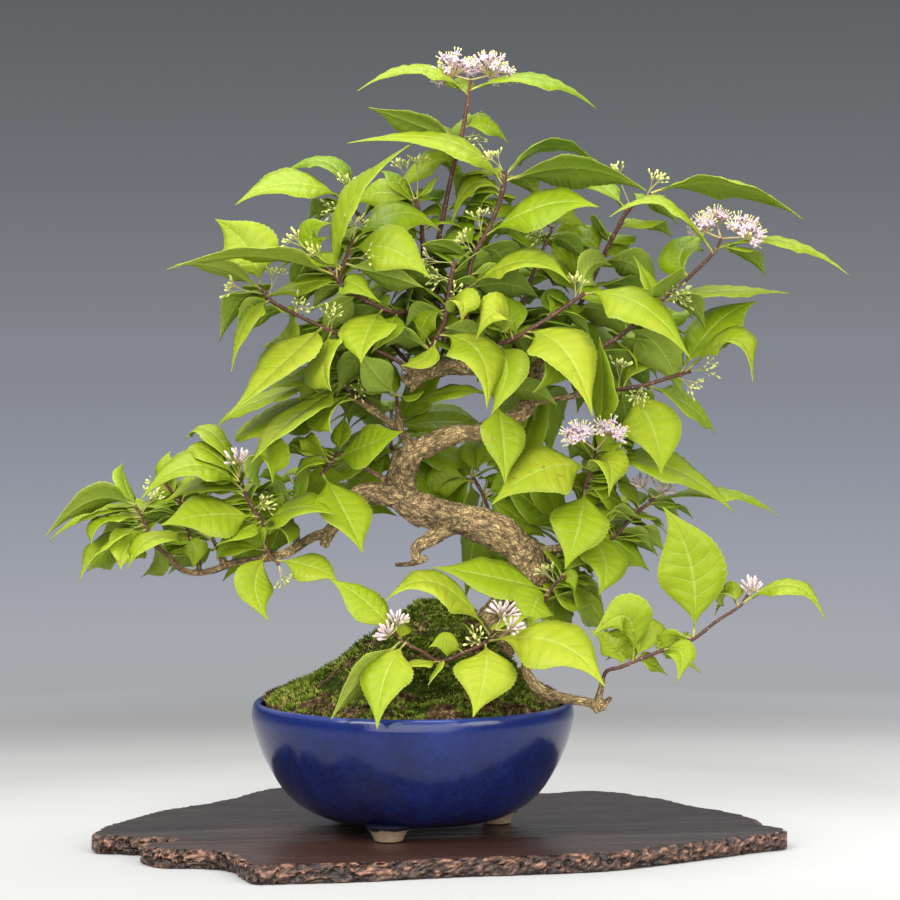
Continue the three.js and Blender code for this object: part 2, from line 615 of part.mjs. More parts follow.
// Leaves make room for each other: each takes the first of these bends that leaves it clear,
// given as the steps of its middle and its tip towards the eye, and a share of its length.
const bends = [
  [0, 0, 1], [4, 10, 1], [-4, -10, 1], [8, 20, 1], [-8, -20, 1], [9, 2, 1], [-9, -2, 1],
  [13, 30, 1], [-13, -30, 1], [16, 12, 1], [-16, -12, 1], [20, 42, 1], [-20, -42, 1],
  [0, 0, 0.8], [6, 14, 0.8], [-6, -14, 0.8], [12, 26, 0.8], [-12, -26, 0.8],
];

function bentLeaf(leaf, [middleStep, tipStep, share]) {
  const middle = leaf.root.clone().lerp(leaf.middle, share);
  const tip = leaf.root.clone().lerp(leaf.tip, share);
  middle.addScaledVector(leaf.sight(middle), middleStep);
  tip.addScaledVector(leaf.sight(tip), tipStep);
  return makeLeaf(leaf.root, middle, tip, leaf.shown * share, leaf.sight);
}

const placed = [];

function place(owner, kind, solid, blade = solid) {
  placed.push({ owner, kind, solid, blade, box: solid.boundingBox() });
}

function boxesTouch(a, b) {
  return a.min.every((low, i) => low < b.max[i]) && b.min.every((low, i) => low < a.max[i]);
}

function isClear(owner, whole, blade) {
  const box = whole.boundingBox();
  return placed.every((other) => {
    if (!boxesTouch(box, other.box)) return true;
    if (other.owner === owner && other.kind === 'leaf') return blade.intersect(other.blade).isEmpty();
    if (other.owner === owner) return blade.intersect(other.solid).isEmpty();
    return whole.intersect(other.solid).isEmpty();
  });
}

function settledLeaf(owner, leaf) {
  for (const bend of bends) {
    const tried = bentLeaf(leaf, bend);
    const whole = leafSolid(tried, 0, leafClearance);
    if (isClear(owner, whole, leafSolid(tried, 1, leafClearance))) return tried;
  }
  return null;
}

// Base: slab, pot, drain mesh, soil and moss

function slabSolid() {
  const shape = new THREE.Shape(slabOutline.map(([x, y]) => new THREE.Vector2(x, y)));
  const geometry = new THREE.ExtrudeGeometry(shape, {
    depth: slabThickness - 2 * slabBevel,
    bevelEnabled: true,
    bevelThickness: slabBevel,
    bevelSize: slabBevel,
    bevelOffset: -slabBevel,
    bevelSegments: 1,
    steps: 1,
  });
  geometry.translate(0, 0, slabBevel);
  return solidOf(geometry);
}

function turnedSolid(profile, sides) {
  const points = profile.map(([radius, height]) => new THREE.Vector2(radius, height));
  const geometry = new THREE.LatheGeometry(points, sides);
  geometry.rotateX(Math.PI / 2);
  const solid = solidOf(geometry);
  if (solid.volume() > 0) return solid;
  return solidOf(new THREE.LatheGeometry(points.reverse(), sides).rotateX(Math.PI / 2));
}

const standTop = slabThickness + seatGap;

function footSolid(turn) {
  const geometry = new THREE.CylinderGeometry(potFootTop, potFootBottom, potFootHeight, footSides);
  geometry.rotateX(Math.PI / 2);
  const angle = THREE.MathUtils.degToRad(turn);
  geometry.translate(
    Math.cos(angle) * potFootCircle,
    Math.sin(angle) * potFootCircle,
    standTop + potFootHeight / 2,
  );
  return solidOf(geometry);
}

function potSolid() {
  const profile = [...potOuter, ...potInner, potOuter[0]];
  const bowl = turnedSolid(profile, potSides);
  const feet = [0, 120, 240].map((turn) => footSolid(potFootTurn + turn));
  const inside = turnedSolid([[0, potFloor + 1], ...potInner.slice(1, -1).reverse(), [0, 62]], potSides);
  return joined([bowl, ...feet.map((foot) => foot.subtract(inside))]);
}

function drainMeshSolid() {
  const disc = new THREE.CylinderGeometry(meshRadius, meshRadius, meshThickness, meshSides);
  disc.rotateX(Math.PI / 2);
  disc.translate(0, 0, potFloor + 2 * seatGap + meshThickness / 2);
  let solid = solidOf(disc);
  for (const x of [-meshPitch, meshPitch]) {
    for (const y of [-meshPitch, meshPitch]) {
      const hole = new THREE.BoxGeometry(meshHole, meshHole, 4).translate(x, y, potFloor + 1);
      solid = solid.subtract(solidOf(hole));
    }
  }
  return solid;
}

// Height of the moss: a skirt that falls to the rim, and the mound that the trunk stands in
function mossHeight(x, y) {
  const radius = Math.hypot(x, y);
  const dip = frontDip * Math.max(0, -y / mossRadius) ** 2;
  const skirt = rimHeight + skirtRise * (1 - Math.min(radius / skirtRadius, 1) ** 6) - dip;
  const wide = x < moundCentre.x ? moundLeft : moundRight;
  const away = Math.hypot((x - moundCentre.x) / wide, (y - moundCentre.y) / moundDeep);
  const mound = away < 1 ? moundPeak * Math.cos((Math.PI / 2) * away) ** 2 : 0;
  const tufts = 1.3 * Math.sin(x * 0.21 + 1) * Math.cos(y * 0.17 + x * 0.06);
  return skirt + mound + tufts * Math.min(1, (skirtRadius - radius) / 20);
}

// A round body under a grid that follows the moss at a depth below it. Its underside follows the
// same grid when a thickness is given, and is flat at the floor otherwise.
const moundSides = 16;
const moundRings = 4;

function moundSolid(below, thickness) {
  const points = [];
  const faces = [];
  const layer = (rings, heightAt) => {
    const start = points.length / 3;
    points.push(0, 0, heightAt(0, 0));
    for (const ring of rings) {
      for (let i = 0; i < moundSides; i += 1) {
        const angle = (2 * Math.PI * i) / moundSides;
        const x = Math.cos(angle) * mossRadius * ring / moundRings;
        const y = Math.sin(angle) * mossRadius * ring / moundRings;
        points.push(x, y, heightAt(x, y));
      }
    }
    return { start, rings: rings.length };
  };
  const cover = ({ start, rings }, flip) => {
    const face = (a, b, c) => faces.push(start + a, start + (flip ? c : b), start + (flip ? b : c));
    for (let i = 0; i < moundSides; i += 1) {
      const j = (i + 1) % moundSides;
      face(0, 1 + i, 1 + j);
      for (let ring = 1; ring < rings; ring += 1) {
        const inner = 1 + (ring - 1) * moundSides;
        const outer = 1 + ring * moundSides;
        face(inner + i, outer + i, outer + j);
        face(inner + i, outer + j, inner + j);
      }
    }
  };
  const every = Array.from({ length: moundRings }, (_, ring) => ring + 1);
  const top = layer(every, (x, y) => mossHeight(x, y) - below);
  const under = thickness
    ? layer(every, (x, y) => mossHeight(x, y) - below - thickness)
    : layer([moundRings], () => potFloor - 4);
  cover(top, false);
  cover(under, true);
  const topRim = top.start + 1 + (top.rings - 1) * moundSides;
  const underRim = under.start + 1 + (under.rings - 1) * moundSides;
  for (let i = 0; i < moundSides; i += 1) {
    const j = (i + 1) % moundSides;
    faces.push(topRim + i, underRim + i, underRim + j, topRim + i, underRim + j, topRim + j);
  }
  const body = new THREE.BufferGeometry();
  body.setAttribute('position', new THREE.BufferAttribute(new Float32Array(points), 3));
  body.setIndex(faces);
  return solidOf(body);
}

function soilSolid(roots) {
  const floor = potFloor + seatGap;
  const wall = potInner.slice(1, -1).map(([radius, height]) => [radius - seatGap * 1.2, height + seatGap]);
  const inside = turnedSolid([[0, 140], [75, 140], ...wall, [0, floor]], potSides);
  const recessRadius = meshRadius + recessRoom;
  const recess = new THREE.CylinderGeometry(recessRadius, recessRadius, 5, meshSides);
  recess.rotateX(Math.PI / 2);
  recess.translate(0, 0, potFloor);
  const mound = moundSolid(mossThickness + seatGap, 0);
  return inside.intersect(mound).subtract(solidOf(recess)).subtract(roots);
}

function mossSolid(roots) {
  return moundSolid(0, mossThickness).subtract(roots);
}

// Trunk and branches

// Shallow flutes round the trunk, deeper at the roots, with old swellings along it
function barkSwell(turn, place) {
  const flare = Math.max(0, 1 - place / 3);
  const flutes = (0.05 + 0.04 * flare) * Math.cos(3 * turn + place * 0.7);
  const knobs = 0.06 * (1 - flare) * Math.sin(place * 2.9) * Math.cos(2 * turn + place);
  return 1 + flutes + knobs;
}

function trunkSolid() {
  return stemSolid(
    routePoints(trunkRoute),
    routeRadii(trunkRoute),
    trunkSides,
    { between: trunkRings, swell: barkSwell },
  );
}

function branchSolid(route) {
  const isLarge = route.length > 3 || route[0][3] > 3.5;
  return stemSolid(routePoints(route), routeRadii(route), isLarge ? branchSides : smallBranchSides);
}

// A shoot starts a hair off the end of its branch, and the two end faces are parallel.
function startFrom(branchPoints) {
  const curve = new THREE.CatmullRomCurve3(branchPoints, false, 'centripetal');
  const heading = curve.getTangent(1);
  return { heading, start: curve.getPoint(1).addScaledVector(heading, shootGap) };
}

// Back of the crown: shoots placed by a rule, with a seeded draw
let draw = 20817;

function chance(low, high) {
  draw = (Math.imul(draw, 1664525) + 1013904223) >>> 0;
  return low + ((high - low) * draw) / 4294967296;
}

// Where each starts on the wood (across, height, depth), its heading round from +X and its climb
const backStarts = [
  { name: 'shoot_back_1', at: [57, 219, 5], heading: 62, climb: 24, reach: 62 },
  { name: 'shoot_back_2', at: [36, 237, -1], heading: 72, climb: 38, reach: 60 },
  { name: 'shoot_back_3', at: [4, 235, -4], heading: 122, climb: 26, reach: 66 },
  { name: 'shoot_back_4', at: [-5, 187, 1], heading: 100, climb: 22, reach: 58 },
  { name: 'shoot_back_5', at: [19, 246, 5], heading: 82, climb: 44, reach: 58 },
  { name: 'shoot_back_6', at: [-58, 150, -5], heading: 95, climb: 28, reach: 50 },
  { name: 'shoot_back_7', at: [-94, 140, -6], heading: 110, climb: 30, reach: 44 },
  { name: 'shoot_back_8', at: [82, 225, 1], heading: 38, climb: 28, reach: 56 },
  { name: 'shoot_back_9', at: [-18, 216, 2], heading: 125, climb: 30, reach: 52 },
  { name: 'shoot_back_10', at: [56, 131, 2], heading: 48, climb: 24, reach: 56, stub: 18 },
];
const backStemRadius = 1.6;
const stubLength = 12;

function radial(heading, climb) {
  const turn = THREE.MathUtils.degToRad(heading);
  const rise = THREE.MathUtils.degToRad(climb);
  return new THREE.Vector3(Math.cos(turn) * Math.cos(rise), Math.sin(turn) * Math.cos(rise), Math.sin(rise));
}

function backShoot(start) {
  const direction = radial(start.heading, start.climb);
  const root = front(...start.at);
  const spotAt = (share) => root.clone().addScaledVector(direction, start.reach * share);
  const stub = [root, root.clone().addScaledVector(direction, start.stub ?? stubLength)];
  const points = [startFrom(stub).start, ...[0.45, 0.72, 1].map((share) => spotAt(share)
    .add(new THREE.Vector3(chance(-3, 3), chance(-2, 2), share * share * 8 + chance(-1, 1))))];
  const leaves = [];
  points.slice(1).forEach((point, k) => {
    for (const side of k < 2 ? [-1, 1] : [chance(-0.3, 0.3)]) {
      const heading = start.heading + side * chance(48, 78) + (k % 2) * 12;
      const length = chance(36, 50) * (k === 2 ? 0.85 : 1);
      const out = radial(heading, chance(2, 26));
      const middle = point.clone().addScaledVector(out, length * 0.5);
      const tip = point.clone().addScaledVector(out, length * 0.96);
      middle.z += length * 0.08;
      tip.z -= length * chance(0.1, 0.32);
      leaves.push({ node: k + 1, middle, tip, shown: length * chance(0.2, 0.4) });
    }
  });
  return { name: start.name, heading: direction, stub, points, leaves };
}

function outward(spot) {
  const away = new THREE.Vector3(spot.x - 20, spot.y + 10, 30);
  return away.normalize();
}

const backShoots = backStarts.map(backShoot);

const branchSolids = Object.values(woodyBranches).map(branchSolid);
backShoots.forEach(({ stub }) => {
  branchSolids.push(stemSolid(stub, [backStemRadius * 1.3, backStemRadius], smallBranchSides));
});
const woodSolid = joined([trunkSolid(), ...branchSolids]);

// The roots stand in plain holes in the moss and the soil.
const rootRoom = 1.13;
const buriedPoints = routePoints(trunkRoute.slice(0, 4));
buriedPoints[0].z -= 1;
const rootHole = stemSolid(
  buriedPoints,
  routeRadii(trunkRoute.slice(0, 4)).map((radius) => radius * rootRoom),
  trunkSides,
);

// Shoots

function towardsEye(spot) {
  return eye.clone().sub(spot).normalize();
}

function shootFrame(shoot) {
  const { heading, start } = startFrom(routePoints(woodyBranches[shoot.from]));
  const main = [start, ...routePoints(shoot.route)];
  const radii = [shoot.route[0][3], ...routeRadii(shoot.route)];
  const stems = [stemSolid(main, radii, twigSides, { heading })];
  const points = [...main];
  const neighbours = main.map((point, i) => ({ before: main[i - 1], after: main[i + 1] }));
  const ends = [startFrom(main)];
  for (const { node, route } of shoot.twigs ?? []) {
    const twig = [main[node], ...routePoints(route)];
    stems.push(stemSolid(twig, [route[0][3], ...routeRadii(route)], twigSides));
    points.push(...twig.slice(1));
    neighbours.push(...twig.map((point, i) => ({ before: twig[i - 1], after: twig[i + 1] })).slice(1));
    ends.push(startFrom(twig));
  }
  return { points, neighbours, ends, stem: joined(stems) };
}

// A cluster of three closed buds on thin stalks that part close to the stem
const budLength = 6;
const budRadius = 1.2;
const budSpread = 0.24;
const budRoot = 0.85;
const budWidest = 0.82;
const budFork = 0.25;

function budSolid(root, middle) {
  const along = middle.clone().sub(root);
  const length = along.length();
  along.normalize();
  const side = new THREE.Vector3(along.z, 0.3, -along.x).cross(along).normalize();
  const points = [];
  const faces = [];
  const put = (spot) => points.push(spot.x, spot.y, spot.z) / 3 - 1;
  const around = (turn, reach) => side.clone().applyAxisAngle(along, turn).multiplyScalar(reach);
  const third = (2 * Math.PI) / 3;
  const base = [0, 1, 2].map((i) => put(root.clone().add(around(i * third, budRoot))));
  const fork = put(root.clone().addScaledVector(along, length * budFork));
  faces.push([base[0], base[2], base[1]]);
  for (let i = 0; i < 3; i += 1) {
    const reach = length + budLength * (0.5 - 0.3 * i);
    const axis = (i + 0.5) * third;
    const aside = around(axis, reach * budSpread);
    const belly = root.clone().addScaledVector(along, reach * budWidest).add(aside);
    const ring = [-1, 1, 3].map((step) => (
      put(belly.clone().add(around(axis + step * third / 2, budRadius)))
    ));
    const foot = [base[i], base[(i + 1) % 3], fork];
    const tip = put(root.clone().addScaledVector(along, reach).addScaledVector(aside, 1.15));
    for (let k = 0; k < 3; k += 1) {
      const next = (k + 1) % 3;
      faces.push([foot[k], foot[next], ring[next]], [foot[k], ring[next], ring[k]]);
      faces.push([ring[k], ring[next], tip]);
    }
  }
  const geometry = new THREE.BufferGeometry();
  geometry.setAttribute('position', new THREE.BufferAttribute(new Float32Array(points), 3));
  geometry.setIndex(faces.flat());
  return solidOf(geometry);
}

// A flower head: open florets stand out of a closer middle, on a thin stalk
const stalkRadius = 0.8;
const headHollow = 0.6;
const stalkFork = 2.4;

function headSolid(centre, radius) {
  const corners = new THREE.IcosahedronGeometry(1, 0).attributes.position;
  const geometry = new THREE.IcosahedronGeometry(1, 1);
  const position = geometry.attributes.position;
  const spot = new THREE.Vector3();
  const corner = new THREE.Vector3();
  for (let v = 0; v < position.count; v += 1) {
    spot.fromBufferAttribute(position, v).normalize();
    let isFloret = false;
    for (let c = 0; c < corners.count; c += 1) {
      isFloret ||= spot.distanceTo(corner.fromBufferAttribute(corners, c).normalize()) < 0.01;
    }
    const wave = 0.07 * Math.sin(spot.x * 5 + centre.x) + 0.06 * Math.sin(spot.z * 6 + centre.z);
    spot.multiplyScalar(radius * (isFloret ? 0.92 + wave : headHollow)).add(centre);
    position.setXYZ(v, spot.x, spot.y, spot.z);
  }
  return solidOf(geometry);
}

function bloomSolid({ heading, start }, heads) {
  const fork = start.clone().addScaledVector(heading, stalkFork);
  const stalk = (points, from) => stemSolid(points, points.map(() => stalkRadius), 3, from);
  const parts = heads.flatMap(([across, height, depth, radius]) => {
    const centre = front(across, height, depth);
    return [heads.length > 1 ? stalk([fork, centre], {}) : null, headSolid(centre, radius)];
  });
  const foot = heads.length > 1 ? [start, fork] : [start, fork, front(...heads[0])];
  return joined([stalk(foot, { heading }), ...parts.filter(Boolean)]);
}

// Growing everything, the stiff pieces first

const slab = slabSolid();
const pot = potSolid();
const drainMesh = drainMeshSolid();
const soil = soilSolid(rootHole);
const moss = mossSolid(rootHole);
place('stand_slab', 'base', slab);
place('pot', 'base', pot);
place('moss', 'base', moss);
place('trunk', 'stem', trunkSolid());
branchSolids.forEach((solid) => place('trunk', 'stem', solid));

const blooms = [];

// What grows from one point of a stem is spread along the stem there, the lowest lean first, so
// that each root stands by itself.
function spreadRoots(points, neighbours, rows) {
  const roots = [];
  points.forEach((point, node) => {
    const { before = point, after = point } = neighbours[node];
    const along = after.clone().sub(before).normalize();
    const lean = (row) => row.middle.clone().sub(point).normalize().dot(along);
    const here = rows.filter((row) => row.node === node).sort((a, b) => lean(a) - lean(b));
    here.forEach((row, k) => {
      const middleStep = after === point ? here.length - 0.6 : (here.length - 1) / 2;
      const step = (k - middleStep) * rootSpacing;
      const towards = (step < 0 ? before : after).clone().sub(point).normalize();
      roots[rows.indexOf(row)] = point.clone().addScaledVector(towards, Math.abs(step));
    });
  });
  return roots;
}

// Every stem is placed before the first leaf, so that leaves bend clear of all of them.
const growing = shootLayout.map((shoot) => {
  const { points, neighbours, ends, stem } = shootFrame(shoot);
  place(shoot.name, 'stem', stem);
  bloomLayout.filter(({ from }) => from === shoot.name).forEach(({ name, end, heads }) => {
    const solid = bloomSolid(ends[end], heads);
    place(name, 'bloom', solid);
    blooms.push({ name, solid });
  });
  const budRows = shoot.buds.map(([node, ...middle]) => ({ node, middle: front(...middle) }));
  const leafRows = shoot.leaves.map(([node, midX, midZ, tipX, tipZ, tipDepth, shown]) => ({
    node,
    middle: front(midX, midZ, (points[node].y + tipDepth) / 2),
    tip: front(tipX, tipZ, tipDepth),
    shown,
  }));
  const roots = spreadRoots(points, neighbours, [...budRows, ...leafRows]);
  const buds = budRows.map(({ middle }, i) => {
    const solid = budSolid(roots[i], middle);
    place(shoot.name, 'buds', solid);
    return solid;
  });
  const leaves = leafRows.map(({ middle, tip, shown }, i) => makeLeaf(
    roots[buds.length + i],
    middle,
    tip,
    shown,
    towardsEye,
  ));
  return { name: shoot.name, solids: [stem, ...buds], leaves };
});

backShoots.forEach((shoot) => {
  const radii = shoot.points.map((point, i) => backStemRadius - 0.15 * i);
  const stem = stemSolid(shoot.points, radii, twigSides, { heading: shoot.heading });
  place(shoot.name, 'stem', stem);
  const neighbours = shoot.points.map((point, i) => ({
    before: shoot.points[i - 1],
    after: shoot.points[i + 1],
  }));
  const roots = spreadRoots(shoot.points, neighbours, shoot.leaves);
  const leaves = shoot.leaves.map(({ middle, tip, shown }, i) => (
    makeLeaf(roots[i], middle, tip, shown, outward)
  ));
  growing.push({ name: shoot.name, solids: [stem], leaves });
});

const settled = growing.map((shoot) => {
  const solids = [...shoot.solids];
  shoot.leaves.map((leaf) => settledLeaf(shoot.name, leaf)).filter(Boolean).forEach((leaf) => {
    const solid = leafSolid(leaf);
    place(shoot.name, 'leaf', solid, leafSolid(leaf, 1));
    solids.push(solid);
  });
  return { name: shoot.name, solid: joined(solids) };
});

// The finished assembly

const bonsai = new THREE.Group();

function addNode(name, solid, finish) {
  const mesh = new THREE.Mesh(geometryOf(solid), new THREE.MeshStandardMaterial(finish));
  mesh.name = name;
  bonsai.add(mesh);
}

addNode('stand_slab', slab, finishes.lacquer);
addNode('pot', pot, finishes.glaze);
addNode('drain_mesh', drainMesh, finishes.mesh);
addNode('soil', soil, finishes.soil);
addNode('moss', moss, finishes.moss);
addNode('trunk', woodSolid, finishes.bark);
settled.forEach(({ name, solid }) => addNode(name, solid, finishes.leaf));
blooms.forEach(({ name, solid }) => addNode(name, solid, finishes.bloom));

export default bonsai;
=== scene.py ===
"""The visible model of a japanese beautyberry bonsai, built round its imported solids."""

import math
import random

import bpy
import numpy as np
from bpy.props import FloatProperty, FloatVectorProperty, IntProperty, PointerProperty
from mathutils import Matrix, Vector, noise
from mathutils.bvhtree import BVHTree
from mathutils.kdtree import KDTree


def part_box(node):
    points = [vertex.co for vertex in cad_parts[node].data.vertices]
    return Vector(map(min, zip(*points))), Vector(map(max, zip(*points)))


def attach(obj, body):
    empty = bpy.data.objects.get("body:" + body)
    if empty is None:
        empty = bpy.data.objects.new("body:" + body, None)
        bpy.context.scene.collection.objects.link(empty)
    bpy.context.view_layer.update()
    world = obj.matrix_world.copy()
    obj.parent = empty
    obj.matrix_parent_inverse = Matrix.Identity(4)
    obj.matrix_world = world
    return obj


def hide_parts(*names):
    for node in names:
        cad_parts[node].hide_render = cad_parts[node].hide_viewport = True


bl_info = {
    "name": "Beautyberry bonsai",
    "version": (1, 0, 0),
    "blender": (4, 5, 0),
    "location": "3D View > Sidebar > Bonsai",
    "description": "Dresses the solids of a beautyberry bonsai with bark, leaves, blossom, moss and glaze",
    "category": "Object",
}

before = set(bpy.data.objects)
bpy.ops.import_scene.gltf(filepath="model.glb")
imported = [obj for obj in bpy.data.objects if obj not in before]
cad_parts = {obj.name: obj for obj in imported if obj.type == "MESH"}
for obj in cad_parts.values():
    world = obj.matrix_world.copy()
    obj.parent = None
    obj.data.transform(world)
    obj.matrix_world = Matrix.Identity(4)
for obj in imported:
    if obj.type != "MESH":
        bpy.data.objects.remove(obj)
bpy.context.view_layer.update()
MM = 0.001

# Where the tree is looked at from, in millimetres. Places below are given across and up in the
# plane through the middle of the pot, with their depth behind that plane.
EYE = (18.5, -1460.0, 253.0)
VIEW_ACROSS = 450.0
VIEW_MIDDLE = 197.5

# Trunk and woody branches: rows of across, height, depth, radius
TRUNK_ROUTE = [
    [37, 70, 6, 8], [38, 86, 6, 9.5], [40, 99, 6, 10.5], [44, 112, 5, 11], [53, 126, 3, 10],
    [59, 139, 1, 9], [50, 151, 0, 8.5], [36, 159, -1, 8.5], [22, 163, -1, 8], [6, 167, -1, 7.8],
    [-4, 173, 0, 7.5], [-6, 184, 1, 7], [-1, 195, 1, 6.5], [9, 201, 1, 5], [20, 205, 1, 4.6],
    [34, 207, 2, 4.5], [48, 212, 4, 4.2], [57, 219, 5, 4], [60, 227, 4, 4], [55, 234, 2, 3.8],
    [44, 236.5, 0, 3.7], [30, 238, -2, 3.7], [16, 239, -3, 3.8], [4, 235, -4, 4.1], [-4, 230, -4, 4.3],
]

BRANCHES = {
    "left_low": [
        [-4, 174, 0, 6], [-24, 176, -2, 4.8], [-35, 168, -3, 3.8], [-41, 158, -4, 3], [-50, 154, -5, 2.4],
        [-66, 145, -6, 2.2], [-90, 141, -6, 2], [-98, 138, -5, 1.8], [-108, 136, -4, 1.7],
        [-116, 138, -3, 1.6], [-122, 144, -3, 1.5], [-130, 151, -3, 1.4],
    ],
    "left_stub": [[-40, 159, -4, 2.6], [-45, 149, -5, 2.2]],
    "pad_rise": [[-74, 143, -6, 1.8], [-74, 156, -8, 1.4]],
    "pad_drop": [[-70, 144, -6, 1.8], [-71, 147, -11, 1.4]],
    "pad_back": [[-107, 136, -4, 1.6], [-107, 143, 1, 1.3]],
    "inner_left": [[-5, 181, 1, 2.2], [-14, 183, 2, 1.6], [-25, 189, 2, 1.4]],
    "back_left": [[0, 198, 1, 3], [-6, 206, 1, 2.1], [-14, 213, 2, 2], [-29, 223, 2, 1.7]],
    "fork": [[-6, 206, 1, 2], [-8, 220, -5, 1.4]],
    "old_stub": [[20, 160, -2, 4], [1, 147, -5, 2.8], [2, 142, -5, 2]],
    "dry_tip": [[7, 144, -5, 2], [1, 141, -5, 1.4], [-9, 140, -6, 1.2]],
    "right_mid": [[54, 146, 0, 4], [64, 147, 0, 2.6], [82, 150, -2, 1.6]],
    "right_mid_side": [[71, 148, -1, 2], [81, 146, 7, 1.5]],
    "low_right": [
        [48, 114, 0, 4], [54, 105, -11, 2.3], [57, 95, -23, 1.9], [56.8, 87, -31, 2.6],
        [61, 79.5, -37, 2.8], [69, 75, -42, 2.6], [90, 70.5, -46, 2.4], [94, 67.5, -46, 2.7],
    ],
    "low_right_tip": [[94, 68, -46, 2], [99, 74, -47, 1.2]],
    "low_right_rise": [[92, 70, -46, 2], [95, 83, -46, 1.4]],
    "base_right": [[54, 122, 0, 4], [60, 119, -9, 1.7], [65, 121, -13, 1.4]],
    "base_front": [[45, 115, -2, 4], [45, 112, -14, 2], [43, 108, -26, 1.6]],
    "upper_right": [[60, 223, 4, 3], [70, 223, 3, 1.9], [94, 227, -1, 1.5]],
    "right_long_base": [[58, 231, 3, 3], [76, 240, -5, 1.9]],
    "right_top_base": [[57, 232, 4, 3], [63, 241, 11, 2.2], [69, 249, 14, 2]],
    "bud_stem_base": [[48, 236, 1, 2.6], [50, 243, 6, 1.7]],
    "front_right_base": [[34, 238, -2, 2.6], [38, 245, -12, 1.8]],
    "inner_front_base": [[40, 237, -1, 2.4], [39, 232, -9, 1.5]],
    "upright_base": [[28, 238, -2, 2.8], [29, 246, -5, 2]],
    "leader_base": [[20, 239, -1, 3], [18, 247, 7, 2.3], [15, 256, 11, 2]],
    "front_left_base": [[8, 237, -4, 2.8], [8, 245, -11, 1.7]],
    "upper_left": [[12, 239, 0, 3], [9, 251, 5, 2.3], [6, 262, 5, 2.1], [0, 266, 2, 1.8]],
    "upper_left_rise": [[7, 260, 5, 2], [6, 269, 6, 1.7]],
    "upper_left_back": [[8, 254, 5, 2], [3, 264, 14, 1.7]],
    "left_mid_base": [[2, 235, -3, 2.6], [-6, 241, -9, 1.7]],
    "loop_back": [[40, 158, 2, 4], [38, 166, 13, 1.6]],
}

